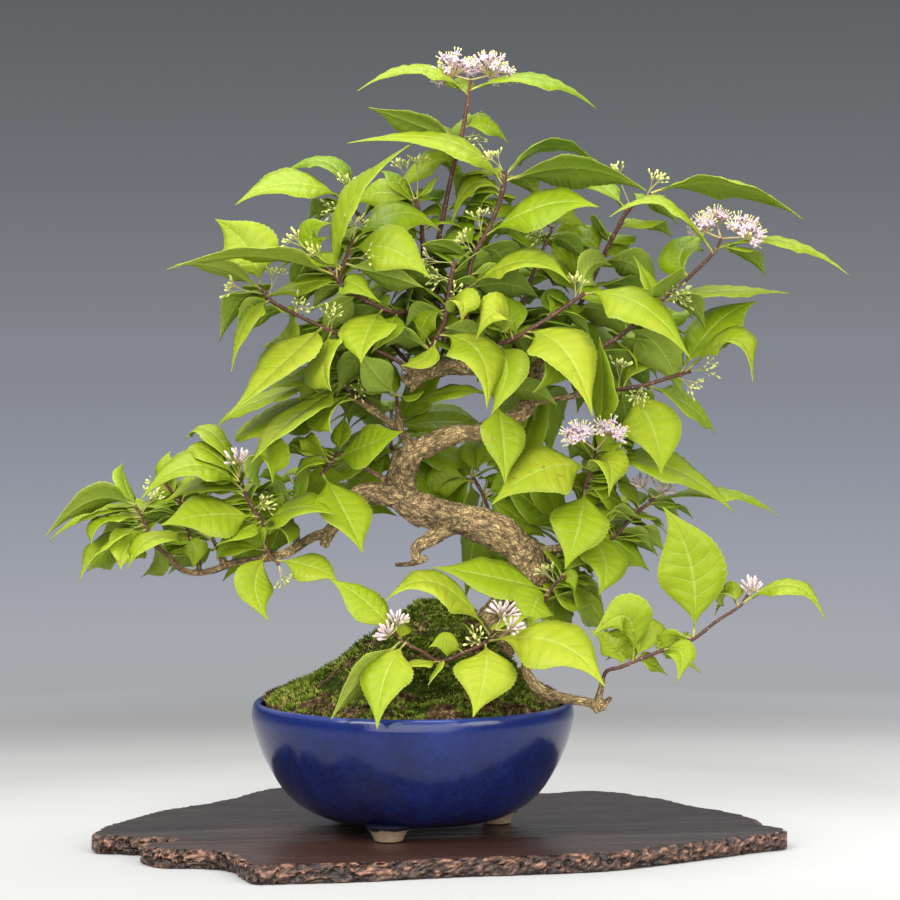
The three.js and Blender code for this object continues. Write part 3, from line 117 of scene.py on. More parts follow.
# Leafy shoots: the branch that each grows from, its route, its leaves (route point, middle across
# and up, tip across, up and deep, width shown) and its bud clusters (route point, middle)
SHOOTS = [
    {"name": "shoot_leader", "from": "leader_base", "route": [
        [12, 270, 12, 1.9], [11, 286, 10, 1.8], [13, 304, 6, 1.7], [16, 319, 3, 1.6], [20, 338, 1, 1.5],
        [24, 353, -1, 1.5], [27, 370, -2, 1.3], [28, 376, -2, 1.2], [28.5, 380, -2, 0.9],
    ], "leaves": [
        [8, 2, 388, -28, 377, -14, 5], [8, 62, 384, 92, 368, 16, 5], [6, 1, 361, -22, 369, -10, -13],
        [6, 25, 360, 28, 366, 44, 12], [5, 9, 341, -16, 320, -16, 11],
    ], "buds": [[6, 26, 349, -6], [6, 33, 354, 8]]},
    {"name": "shoot_upright", "from": "upright_base", "route": [
        [27, 262, -6, 1.9], [27, 278, -8, 1.8], [30, 294, -9, 1.7], [35, 303, -10, 1.7],
        [40, 313, -11, 1.6], [45, 328, -12, 1.8], [46, 337, -12, 1.7],
    ], "leaves": [
        [6, 18, 352, -33, 351, -34, 9], [6, 82, 339, 117, 327, 2, -15], [7, 68, 350, 97, 338, 22, -6],
        [6, 29, 330, 19, 310, -4, 8], [6, 33, 323, 20, 304, 12, 9], [4, 66, 320, 93, 319, -36, 17],
        [2, 56, 292, 79, 281, -40, 10], [3, 15, 300, 4, 300, -26, -8],
    ], "buds": [[4, 33, 316, -15], [3, 24, 304, -12], [7, 39, 345, -14]]},
    {"name": "shoot_front_left", "from": "front_left_base", "route": [
        [12, 254, -16, 1.6], [16, 262, -18, 1.6], [17, 270, -19, 1.6], [19, 283, -20, 1.5],
        [21, 292, -20, 1.5],
    ], "leaves": [
        [1, 33, 246, 37, 218, -54, 20], [1, 5, 243, -6, 240, -34, 9], [3, 6, 262, 6, 247, -6, 12],
        [3, 25, 272, 24, 261, -42, 13],
    ], "buds": [[4, 10, 284, -26], [3, 23, 276, -26], [5, 5, 292, -24]]},
    {"name": "shoot_front_right", "from": "front_right_base", "route": [
        [43, 250, -17, 1.7], [52, 254, -20, 1.7], [70, 265, -22, 1.5], [86, 276, -24, 1.4],
    ], "leaves": [
        [4, 114, 270, 139, 243, -54, 18], [4, 88, 289, 99, 290, 4, -14], [2, 76, 247, 90, 214, -64, 24],
        [2, 72, 243, 60, 226, -44, 18], [2, 47, 269, 41, 283, 6, 20], [2, 42, 267, 31, 252, -38, 14],
        [3, 74, 270, 86, 261, 18, 14], [1, 47, 236, 39, 215, -58, 19],
    ], "buds": [[2, 39, 271, -26], [4, 82, 283, -26]]},
    {"name": "shoot_inner_front", "from": "inner_front_base", "route": [
        [40, 226, -16, 1.3], [42, 221, -22, 1.2],
    ], "leaves": [
        [2, 45, 203, 46, 180, -44, 20], [1, 17, 227, 2, 221, 6, 7],
    ], "buds": []},
    {"name": "shoot_loop", "from": "loop_back", "route": [
        [35, 175, 22, 1.4], [30, 184, 27, 1.3],
    ], "leaves": [
        [2, 14, 182, 4, 175, 30, 15], [2, 38, 196, 45, 181, 34, 12], [1, 54, 163, 66, 154, 26, 13],
    ], "buds": []},
    {"name": "shoot_right_top", "from": "right_top_base", "route": [
        [78, 261, 14, 1.9], [86, 275, 12, 1.8], [95, 294, 8, 1.7], [100, 304, 5, 1.6], [108, 318, 2, 1.7],
        [113, 322, 1, 1.3], [119, 326, 0, 1.1],
    ], "leaves": [
        [7, 156, 331, 195, 313, -18, -9], [5, 92, 331, 77, 334, 28, 8], [2, 79, 298, 81, 321, 26, 18],
        [3, 84, 304, 72, 298, 34, 12],
    ], "buds": [[5, 101, 338, -2], [7, 123, 334, -4]]},
    {"name": "shoot_buds", "from": "bud_stem_base", "route": [
        [53, 262, 5, 1.5], [59, 283, 3, 1.4], [66, 300, 1, 1.2], [70, 309, 0, 1],
    ], "leaves": [
        [3, 57, 303, 46, 306, 12, -12], [4, 76, 314, 88, 308, 14, 9], [2, 68, 286, 78, 276, 22, 10],
    ], "buds": [[4, 61, 306, -8]]},
    {"name": "shoot_right_long", "from": "right_long_base", "route": [
        [90, 246, -10, 1.8], [108, 258, -14, 1.6], [125, 273, -18, 1.5], [138, 284, -20, 1.4],
        [151, 297, -22, 1.3], [153, 301, -23, 0.9],
    ], "leaves": [
        [5, 186, 302, 218, 285, -10, 4], [5, 125, 320, 98, 314, -42, 4], [4, 134, 296, 148, 307, 14, 18],
        [3, 119, 280, 110, 295, -36, 7], [3, 128, 281, 135, 289, -34, -10], [3, 155, 277, 188, 276, 10, 6],
        [2, 114, 257, 136, 248, 12, 14],
    ], "buds": [[3, 131, 276, -24], [3, 137, 274, -14]]},
    {"name": "shoot_right_mid", "from": "upper_right", "route": [
        [105, 228, -4, 1.5], [116, 230, -6, 1.4], [126, 233, -8, 1.3], [139, 237, -10, 1.4],
    ], "leaves": [
        [4, 151, 260, 172, 272, 12, 20], [4, 161, 253, 170, 231, -32, 10], [1, 120, 208, 124, 185, -42, 26],
        [2, 139, 219, 151, 206, 22, 9], [1, 114, 244, 127, 246, 20, 13],
    ], "buds": [[4, 149, 239, -16], [4, 141, 229, -12], [1, 104, 241, -8], [2, 113, 224, -12]]},
    {"name": "shoot_right_rise", "from": "right_mid", "route": [
        [86, 158, -5, 1.5], [84, 168, -8, 1.5], [86, 179, -10, 1.4], [90, 190, -12, 1.3],
        [92, 201, -9, 1.1],
    ], "leaves": [
        [5, 95, 229, 93, 254, 4, 13], [4, 98, 191, 98, 174, -44, 15], [4, 65, 188, 39, 170, -56, 24],
        [4, 128, 189, 161, 166, -8, 14], [3, 83, 160, 76, 138, -48, 27], [3, 99, 174, 107, 166, 12, 10],
        [1, 96, 142, 93, 125, -40, 20],
    ], "buds": [[5, 104, 197, -16]], "twigs": [{"node": 4, "route": [[91, 196, -20, 1]]}]},
    {"name": "shoot_right_low", "from": "right_mid_side", "route": [
        [98, 152, 6, 1.3], [107, 161, 4, 1.2], [114, 168, 2, 1.3], [119, 172, 0, 1],
    ], "leaves": [
        [3, 152, 178, 183, 164, 12, 4], [2, 115, 165, 128, 155, 16, 3], [1, 110, 162, 122, 150, 20, 4],
        [1, 110, 155, 122, 152, 30, 7],
    ], "buds": []},
    {"name": "shoot_base_right", "from": "base_right", "route": [
        [69, 128, -15, 1.3], [75, 135, -16, 1.1],
    ], "leaves": [
        [1, 61, 121, 58, 106, -42, 20], [1, 40, 134, 10, 139, -28, 18], [1, 78, 122, 93, 122, 2, 8],
        [2, 84, 142, 90, 134, 8, 7],
    ], "buds": [[1, 66, 138, -14]]},
    {"name": "shoot_low_right", "from": "low_right_rise", "route": [
        [97, 87, -46, 1.3], [104, 89, -45, 1.3], [111, 92, -44, 1.3], [124, 97, -42, 1.2],
        [140, 103, -40, 1.3], [152, 112, -38, 1.1], [164, 120, -36, 1.1], [166, 123, -36, 0.9],
    ], "leaves": [
        [3, 107, 114, 89, 104, -56, 22], [4, 134, 96, 132, 81, -62, 13], [3, 120, 91, 131, 83, -30, 9],
        [5, 139, 140, 125, 169, -44, 31], [7, 190, 130, 206, 113, -54, 8], [7, 157, 126, 151, 115, -14, 7],
        [4, 118, 108, 108, 118, -20, 12],
    ], "buds": []},
    {"name": "shoot_front_low", "from": "base_front", "route": [
        [39, 104, -40, 1.4], [36, 101, -50, 1.4], [25, 96, -54, 1.3], [13, 92, -57, 1.4], [4, 97, -60, 1.2],
        [-6, 102, -62, 1.1], [-8, 105, -64, 0.9],
    ], "leaves": [
        [2, 36, 86, 30, 64, -88, 28], [2, 72, 101, 96, 79, -86, 24], [3, 17, 101, 8, 99, -68, 10],
        [4, 11, 86, 6, 77, -80, 4], [6, -14, 84, -18, 58, -94, 22], [6, -31, 79, -50, 53, -84, -14],
        [6, -24, 122, -42, 133, -56, 15], [1, 12, 131, -14, 122, -64, 13],
    ], "buds": [[2, 31, 104, -58]], "twigs": [{"node": 2, "route": [[40, 106, -54, 1]]}]},
    {"name": "shoot_left_mid", "from": "left_mid_base", "route": [
        [-24, 250, -14, 1.5], [-43, 258, -18, 1.4], [-60, 266, -20, 1.4], [-72, 273, -21, 1.4],
        [-77, 280, -22, 1.1],
    ], "leaves": [
        [5, -83, 299, -99, 313, -12, 28], [5, -96, 289, -119, 290, -36, -8],
        [4, -84, 262, -91, 236, -36, 7], [4, -80, 272, -94, 267, -2, 5], [2, -63, 243, -93, 214, -52, 17],
        [2, -45, 241, -41, 227, -64, 15], [3, -62, 257, -76, 249, 10, 9],
    ], "buds": [[5, -92, 279, -28], [5, -69, 287, -24], [3, -56, 270, -26], [2, -40, 267, -24]]},
    {"name": "shoot_left_up", "from": "upper_left", "route": [
        [-8, 266, -5, 1.5], [-15, 268, -10, 1.5], [-30, 276, -15, 1.5], [-37, 282, -17, 1.6],
        [-45, 292, -18, 1.1],
    ], "leaves": [
        [4, -78, 295, -123, 288, -44, -7], [4, -32, 319, -2, 350, -42, 9], [2, -23, 256, -26, 241, -60, 23],
        [1, -12, 258, -21, 246, -22, 12], [4, -30, 281, -16, 271, -34, 11], [4, -54, 281, -75, 273, -4, 9],
        [5, -51, 305, -41, 311, -26, 13], [7, -11, 298, 9, 283, -54, 22], [7, -8, 316, 14, 307, -8, 14],
        [6, -12, 285, 5, 279, -38, -13],
    ], "buds": [[5, -61, 304, -20], [5, -51, 297, -24], [7, -28, 312, -30], [6, -20, 294, -32]],
     "twigs": [{"node": 4, "route": [[-34, 292, -22, 1.3], [-30, 303, -25, 1.2]]}]},
    {"name": "shoot_left_top", "from": "upper_left_back", "route": [
        [-6, 286, 19, 1.6], [-18, 303, 17, 1.5], [-28, 316, 13, 1.4], [-34, 323, 10, 1.1],
    ], "leaves": [
        [4, -62, 331, -89, 320, -12, 13], [3, -42, 341, -66, 335, 36, 8], [2, -32, 300, -46, 296, 32, 12],
    ], "buds": [[4, -42, 317, 2], [4, -33, 333, 8]]},
    {"name": "shoot_centre_top", "from": "upper_left_rise", "route": [
        [5, 292, 4, 1.5], [4, 312, 0, 1.5], [1, 323, -2, 1.5],
    ], "leaves": [
        [3, -8, 332, -16, 337, 14, 7], [2, -12, 318, -20, 308, 24, 12],
    ], "buds": [[3, -6, 341, -4], [3, 3, 343, -8]]},
    {"name": "shoot_fork", "from": "fork", "route": [[-8, 225, -9, 1.2]], "leaves": [
        [1, -19, 236, -27, 246, -26, -16], [1, -11, 235, -13, 245, 8, 8],
    ], "buds": []},
    {"name": "shoot_inner_left", "from": "inner_left", "route": [
        [-37, 196, 2, 1.3], [-40, 192, -6, 1.2], [-46, 185, -10, 1.2],
    ], "leaves": [
        [2, -23, 200, -5, 207, -36, 17], [2, -51, 192, -60, 183, -24, 5], [3, -34, 166, -25, 146, -48, 22],
    ], "buds": []},
    {"name": "shoot_back_left", "from": "back_left", "route": [
        [-33, 229, 0, 1.4], [-35, 240, 1, 1.1],
    ], "leaves": [
        [1, -60, 213, -81, 191, -54, 11], [1, -42, 217, -41, 206, -46, 13], [1, -78, 222, -98, 209, 4, 7],
        [1, -76, 213, -89, 203, 22, 9], [2, -58, 234, -72, 228, -12, 9], [2, -52, 234, -47, 226, -24, 5],
        [1, -54, 214, -64, 205, 20, 12],
    ], "buds": [[1, -26, 228, -12]]},
    {"name": "shoot_pad_rise", "from": "pad_rise", "route": [
        [-75, 161, -9, 1.3], [-80, 168, -10, 1.3], [-83.5, 175, -11, 1.3], [-85, 179, -12, 1.1],
        [-86, 182, -14, 0.9],
    ], "leaves": [
        [1, -102, 165, -126, 160, -46, 20], [1, -90, 155, -104, 147, -42, 9],
        [1, -64, 158, -62, 149, -34, 8], [1, -58, 169, -38, 165, -46, 12],
        [3, -110, 190, -137, 172, -32, 13], [3, -105, 180, -126, 170, -8, 7],
        [4, -100, 206, -114, 203, 14, 8], [4, -104, 198, -115, 194, -8, 9],
        [4, -74, 193, -70, 181, -52, 13],
    ], "buds": [[2, -73, 171, -16]]},
    {"name": "shoot_pad_end", "from": "left_low", "route": [
        [-133, 158, -4, 1.2], [-136, 165, -5, 1.1], [-139, 170, -6, 1],
    ], "leaves": [
        [3, -160, 173, -184, 154, -22, -12], [2, -160, 166, -182, 152, 2, 5],
        [3, -144, 181, -145, 191, 18, 7], [2, -155, 161, -161, 150, -32, 5],
        [1, -155, 150, -167, 132, -34, 7], [1, -143, 149, -146, 138, -38, 19],
        [1, -128, 145, -136, 134, 10, 8],
    ], "buds": [[3, -129, 176, -8]]},
    {"name": "shoot_pad_mid", "from": "pad_back", "route": [
        [-112, 155, 4, 1.3], [-116, 170, 4, 1.3], [-124, 181, 2, 1.1],
    ], "leaves": [
        [1, -132, 153, -143, 138, -26, 9], [1, -109, 148, -110, 138, -14, 12],
        [2, -110, 180, -102, 173, 16, 10], [3, -125, 190, -121, 197, 20, 8],
    ], "buds": [[3, -131, 178, -2]]},
    {"name": "shoot_pad_drop", "from": "pad_drop", "route": [
        [-73, 147, -16, 1.3], [-67, 140, -20, 1.2],
    ], "leaves": [
        [1, -79, 130, -72, 112, -40, 18], [2, -50, 139, -38, 132, -36, 14], [1, -92, 149, -98, 142, -10, 8],
    ], "buds": [[2, -64, 132, -22]]},
]

# Flower heads at the end of a shoot or of its side twig: across, up, deep and radius of each, and
# what share of their florets is open
BLOOMS = [
    {"name": "bloom_leader", "from": "shoot_leader", "end": 0, "open": 0.7,
     "heads": [[17.5, 391, 8, 11], [41.5, 391, 10, 11]]},
    {"name": "bloom_right_long", "from": "shoot_right_long", "end": 0, "open": 0.7,
     "heads": [[143, 310, -14, 6.5], [151, 315, -10, 6], [169, 309, -26, 9.5]]},
    {"name": "bloom_right_rise", "from": "shoot_right_rise", "end": 1, "open": 0.7,
     "heads": [[82, 207, -30, 7], [99.5, 209, -28, 7.5]]},
    {"name": "bloom_right_low", "from": "shoot_right_low", "end": 0,
     "heads": [[114, 181, -4, 5.5], [126, 178, -2, 5.5]]},
    {"name": "bloom_low_right", "from": "shoot_low_right", "end": 0,
     "heads": [[170, 129, -28, 6]]},
    {"name": "bloom_pad", "from": "shoot_pad_rise", "end": 0,
     "heads": [[-87, 194, -24, 8]]},
    {"name": "bloom_front_low", "from": "shoot_front_low", "end": 0,
     "heads": [[-7, 113, -66, 6.5], [-15, 106, -68, 5.5]]},
    {"name": "bloom_front_base", "from": "shoot_front_low", "end": 1,
     "heads": [[45, 118, -60, 7.5], [51, 109, -62, 6]]},
]

# Slab outline seen from above, round from its left tip
SLAB_OUTLINE = [
    [-157, -24], [-140, -30], [-117, -36], [-131, -45], [-129, -56], [-119, -66], [-100, -68], [-87, -75],
    [-80, -92], [-72, -108], [-58, -107], [-24, -102], [17, -91], [59, -83], [92, -75], [120, -59],
    [148, -40], [170, -24], [185, -14], [184, 2], [177, 10], [176, 22], [166, 46], [148, 66], [129, 96],
    [109, 113], [92, 120], [68, 111], [38, 119], [4, 124], [-38, 128], [-76, 130], [-98, 96], [-115, 73],
    [-132, 53], [-144, 28], [-155, 4],
]

# Shoots at the back of the crown: where each leaves the wood, its heading and climb in degrees, its
# reach and the length of its woody foot
BACK_SHOOTS = [
    {"name": "shoot_back_1", "at": [57, 219, 5], "heading": 62, "climb": 24, "reach": 62},
    {"name": "shoot_back_2", "at": [36, 237, -1], "heading": 72, "climb": 38, "reach": 60},
    {"name": "shoot_back_3", "at": [4, 235, -4], "heading": 122, "climb": 26, "reach": 66},
    {"name": "shoot_back_4", "at": [-5, 187, 1], "heading": 100, "climb": 22, "reach": 58},
    {"name": "shoot_back_5", "at": [19, 246, 5], "heading": 82, "climb": 44, "reach": 58},
    {"name": "shoot_back_6", "at": [-58, 150, -5], "heading": 95, "climb": 28, "reach": 50},
    {"name": "shoot_back_7", "at": [-94, 140, -6], "heading": 110, "climb": 30, "reach": 44},
    {"name": "shoot_back_8", "at": [82, 225, 1], "heading": 38, "climb": 28, "reach": 56},
    {"name": "shoot_back_9", "at": [-18, 216, 2], "heading": 125, "climb": 30, "reach": 52},
    {"name": "shoot_back_10", "at": [56, 131, 2], "heading": 48, "climb": 24, "reach": 56, "stub": 18},
]

# Small leaves behind and between the large ones, in rows like those above
SMALL_LEAVES = {
    "shoot_loop": [[2, 29, 168, 34, 161, 46, 9], [1, 47, 168, 58, 160, 34, 9]],
    "shoot_right_top": [[3, 104, 296, 112, 290, 26, 9]],
    "shoot_base_right": [[2, 79, 134, 81, 126, -22, 7]],
    "shoot_centre_top": [[3, 8, 329, 12, 335, -8, 3]],
    "shoot_fork": [[1, 0, 224, 5, 227, -16, 3]],
    "shoot_inner_left": [[1, -36, 206, -34, 215, 14, 9]],
    "shoot_pad_mid": [[2, -127, 173, -133, 166, 18, 9]],
    "shoot_front_low": [[4, 3, 91, -5, 89, -74, 4]],
    "shoot_low_right": [
        [3, 112, 102, 96, 92, -36, 17], [5, 131, 101, 144, 86, -26, 13], [2, 101, 99, 88, 108, -24, 14],
    ],
}


# Paths and places

def spot(across, height, depth):
    """A point seen across and up from the eye, at its depth, in millimetres."""
    spread = (depth - EYE[1]) / -EYE[1]
    return np.array([EYE[0] + (across - EYE[0]) * spread, depth, EYE[2] + (height - EYE[2]) * spread])


def route_spots(route):
    return [spot(*row[:3]) for row in route]


def unit(vectors):
    vectors = np.asarray(vectors, float)
    return vectors / np.maximum(np.linalg.norm(vectors, axis=-1, keepdims=True), 1e-9)


def radial(heading, climb):
    """A direction from its compass heading and its climb, in degrees."""
    turn, rise = math.radians(heading), math.radians(climb)
    return np.array([math.cos(turn) * math.cos(rise), math.sin(turn) * math.cos(rise), math.sin(rise)])


def spline(points, steps):
    """A centripetal curve through points, with steps places for each stretch, and its tangents."""
    points = [np.asarray(p, float) for p in points]
    ends = [2 * points[0] - points[1], *points, 2 * points[-1] - points[-2]]
    places, tangents = [], []
    for i in range(len(points) - 1):
        a, b, c, d = ends[i:i + 4]
        gaps = [max(np.linalg.norm(q - p), 1e-6) ** 0.5 for p, q in ((a, b), (b, c), (c, d))]
        start = (b - a) / gaps[0] - (c - a) / (gaps[0] + gaps[1]) + (c - b) / gaps[1]
        stop = (c - b) / gaps[1] - (d - b) / (gaps[1] + gaps[2]) + (d - c) / gaps[2]
        start, stop = start * gaps[1], stop * gaps[1]
        cube, square = 2 * b - 2 * c + start + stop, -3 * b + 3 * c - 2 * start - stop
        last = i == len(points) - 2
        for t in np.arange(steps + last) / steps:
            places.append(b + start * t + square * t * t + cube * t ** 3)
            tangents.append(start + 2 * square * t + 3 * cube * t * t)
    return np.array(places), unit(tangents)


def spread_radii(radii, steps):
    """Radii for every place of a spline with that many steps."""
    count = (len(radii) - 1) * steps + 1
    return np.interp(np.arange(count) / steps, np.arange(len(radii)), radii)


def lead_in(course):
    """Where a course ends and which way it heads there."""
    places, tangents = spline(course, 8)
    return places[-1], tangents[-1]


# Handling of objects

def only(obj):
    """Deselects everything, then selects one object and makes it active."""
    for other in bpy.context.selected_objects:
        other.select_set(False)
    obj.select_set(True)
    bpy.context.view_layer.objects.active = obj


def apply_modifier(obj, kind, **settings):
    only(obj)
    modifier = obj.modifiers.new(kind.lower(), kind)
    for key, value in settings.items():
        setattr(modifier, key, value)
    bpy.ops.object.modifier_apply(modifier=modifier.name)


def join(parts, name):
    """Joins objects into the first of them, which takes the name."""
    only(parts[0])
    for part in parts[1:]:
        part.select_set(True)
    if len(parts) > 1:
        bpy.ops.object.join()
    whole = bpy.context.view_layer.objects.active
    whole.name = whole.data.name = name
    return whole


def smooth(obj, angle=None):
    only(obj)
    if angle is None:
        bpy.ops.object.shade_smooth()
    else:
        bpy.ops.object.shade_smooth_by_angle(angle=math.radians(angle))


def dress(obj, slot, *nodes):
    """Gives a finished piece its body and hides the solids that it stands for; its finish slot is not used.
    """
    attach(obj, "root")
    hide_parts(*nodes)


def linked(name, data):
    """A new object in the scene that holds the data."""
    obj = bpy.data.objects.new(name, data)
    bpy.context.collection.objects.link(obj)
    return obj


def twin(master):
    """A copy of an object, with a mesh of its own."""
    obj = master.copy()
    obj.data = master.data.copy()
    bpy.context.collection.objects.link(obj)
    return obj


def mesh_object(name, points, edges, faces, material):
    """An object from points in millimetres."""
    mesh = bpy.data.meshes.new(name)
    mesh.from_pydata([tuple(p) for p in np.asarray(points, float) * MM], edges, faces)
    mesh.materials.append(material)
    return linked(name, mesh)


def tubes(name, strands, material, fineness=0):
    """Round stems along strands of (points, radii) in millimetres, as one mesh."""
    curve = bpy.data.curves.new(name, "CURVE")
    curve.dimensions = "3D"
    curve.bevel_depth = MM
    curve.bevel_resolution = fineness
    curve.use_fill_caps = True
    for points, radii in strands:
        line = curve.splines.new("POLY")
        line.points.add(len(points) - 1)
        line.points.foreach_set("co", np.c_[np.asarray(points) * MM, np.ones(len(points))].ravel())
        line.points.foreach_set("radius", np.asarray(radii, float))
    only(linked(name, curve))
    bpy.ops.object.convert(target="MESH")
    obj = bpy.context.view_layer.objects.active
    obj.data.materials.clear()
    obj.data.materials.append(material)
    smooth(obj)
    return obj


def places_of(obj):
    """Where a mesh's vertices are, in metres, one row each."""
    places = np.zeros(len(obj.data.vertices) * 3)
    obj.data.vertices.foreach_get("co", places)
    return places.reshape(-1, 3)


def move_vertices(obj, spots):
    """Puts a mesh's vertices at spots in millimetres."""
    obj.data.vertices.foreach_set("co", (spots * MM).ravel())


def write_values(obj, name, values):
    """Writes a number for each vertex, or one for all, where the material reads it."""
    values = np.broadcast_to(np.asarray(values, np.float32), (len(obj.data.vertices),))
    layer = obj.data.attributes.new(name, "FLOAT", "POINT")
    layer.data.foreach_set("value", np.ascontiguousarray(values))


def turned_up(towards):
    """The turn that lays the Z axis along a direction."""
    return Vector((0, 0, 1)).rotation_difference(Vector(towards)).to_matrix().to_4x4()


def uneven(place, scale):
    """Blender's own noise at a place, whose lumps are about one over scale wide."""
    return noise.noise(Vector(place) * scale)


# Materials

class Finish:
    """A material under construction: its nodes, and a short way to add and join them."""

    def __init__(self, name, roughness, gloss=0.5):
        self.material = bpy.data.materials.new(name)
        self.material.use_nodes = True
        self.nodes = self.material.node_tree.nodes
        self.links = self.material.node_tree.links
        self.shader = self.nodes["Principled BSDF"]
        self.set("Roughness", roughness)
        self.set("Specular IOR Level", gloss)

    def feed(self, node, socket, value):
        """Joins an output to a node's socket, or gives the socket a value."""
        if isinstance(value, bpy.types.NodeSocket):
            self.links.new(value, node.inputs[socket])
        else:
            node.inputs[socket].default_value = value

    def set(self, socket, value):
        self.feed(self.shader, socket, value)

    def add(self, kind, sockets=None, **settings):
        node = self.nodes.new("ShaderNode" + kind)
        for key, value in settings.items():
            setattr(node, key, value)
        for socket, value in (sockets or {}).items():
            self.feed(node, socket, value)
        return node

    def place(self):
        return self.add("TexCoord").outputs["Object"]

    def height(self):
        return self.add("SeparateXYZ", {0: self.place()}).outputs[2]

    def attribute(self, name, output="Fac"):
        return self.add("Attribute", attribute_name=name).outputs[output]

    def maths(self, operation, a, b=0.0, clamp=False):
        return self.add("Math", {0: a, 1: b}, operation=operation, use_clamp=clamp).outputs[0]

    def plus(self, a, b):
        return self.maths("ADD", a, b)

    def minus(self, a, b):
        return self.maths("SUBTRACT", a, b)

    def times(self, a, b):
        return self.maths("MULTIPLY", a, b)

    def blend(self, a, share_a, b, share_b):
        """The sum of two patterns, each with its share."""
        return self.plus(self.times(a, share_a), self.times(b, share_b))

    def vectors(self, operation, a, b):
        return self.add("VectorMath", {0: a, 1: b}, operation=operation).outputs[0]

    def length(self, vector):
        return self.add("VectorMath", {0: vector}, operation="LENGTH").outputs["Value"]

    def mapped(self, vector, stretch, shift=(0, 0, 0)):
        return self.add("Mapping", {0: vector, 1: shift, 3: stretch}).outputs[0]

    def noise(self, scale, detail=3.0, roughness=0.55, vector=None, distortion=0.0):
        sockets = {"Vector": vector or self.place(), "Scale": scale, "Detail": detail,
                   "Roughness": roughness, "Distortion": distortion}
        return self.add("TexNoise", sockets).outputs["Fac"]

    def swirls(self, vector, scale, detail):
        """Noise with three parts, which bends another pattern."""
        return self.add("TexNoise", {"Vector": vector, "Scale": scale, "Detail": detail}).outputs["Color"]

    def cell_edges(self, vector, scale):
        """How far each place is from the nearest border between cells."""
        cells = self.add("TexVoronoi", {"Vector": vector, "Scale": scale}, feature="DISTANCE_TO_EDGE")
        return cells.outputs[0]

    def between(self, value, low, high, to_low=0.0, to_high=1.0):
        sockets = {"Value": value, "From Min": low, "From Max": high, "To Min": to_low, "To Max": to_high}
        return self.add("MapRange", sockets, interpolation_type="SMOOTHSTEP").outputs[0]

    def ramp(self, value, *stops):
        """Colours laid out along a value, from stops of (place, colour)."""
        node = self.add("ValToRGB", {"Fac": value})
        marks = node.color_ramp.elements
        while len(marks) < len(stops):
            marks.new(0.5)
        for mark, (place, colour) in zip(marks, stops):
            mark.position = place
            mark.color = (*colour, 1)
        return node.outputs["Color"]

    def shades(self, value, colour, *stops):
        """Darker and lighter shades of one colour, from stops of (place, how light)."""
        return self.ramp(value, *((place, shade_of(colour, light)) for place, light in stops))

    def mix(self, share, a, b, blend="MIX"):
        node = self.add("Mix", {"Factor": share}, data_type="RGBA", blend_type=blend)
        for index, value in ((6, a), (7, b)):
            self.feed(node, index, value if isinstance(value, bpy.types.NodeSocket) else (*value, 1))
        return node.outputs[2]

    def colour(self, value):
        self.set("Base Color", value)

    def bump(self, height, strength, distance):
        sockets = {"Height": height, "Strength": strength, "Distance": distance}
        self.set("Normal", self.add("Bump", sockets).outputs["Normal"])

    def let_light_through(self, colour, share):
        """Mixes in the light that a thin blade lets through from behind."""
        glow = self.add("BsdfTranslucent", {"Color": colour})
        both = self.add("MixShader", {0: share, 1: self.shader.outputs[0], 2: glow.outputs[0]})
        self.links.new(both.outputs[0], self.nodes["Material Output"].inputs["Surface"])


def shade_of(colour, factor):
    return tuple(min(channel * factor, 1.0) for channel in colour)


def vein_lines(finish):
    """Lines along a leaf's midrib and side veins, the net and the valleys between them, and how far
    off the midrib each place is."""
    along, across = finish.add("SeparateXYZ", {0: finish.add("UVMap", uv_map="blade").outputs[0]}).outputs[:2]
    off = finish.maths("ABSOLUTE", finish.minus(finish.times(across, 2.0), 1.0))
    midrib = finish.between(off, 0.01, 0.085, 1.0, 0.0)
    lean = finish.times(finish.maths("POWER", off, VEIN_CURVE), LEAF_SLANT)
    phase = finish.times(finish.minus(along, lean), float(LEAF_VEINS))
    away = finish.maths("ABSOLUTE", finish.minus(finish.maths("FRACT", phase), 0.5))
    side = finish.between(away, 0.43, 0.5)
    side = finish.times(side, finish.between(off, 0.4, 1.0, 1.0, 0.1))
    side = finish.times(side, finish.between(along, 0.75, 0.95, 1.0, 0.0))
    cell = finish.add("CombineXYZ", {0: finish.times(phase, 2.3), 1: finish.times(off, 7.0)}).outputs[0]
    net = finish.between(finish.cell_edges(cell, 1.0), 0.0, 0.12, 1.0, 0.0)
    valley = finish.times(finish.between(away, 0.12, 0.46), finish.between(off, 0.05, 0.95, 1.0, 0.2))
    return midrib, side, net, valley, off


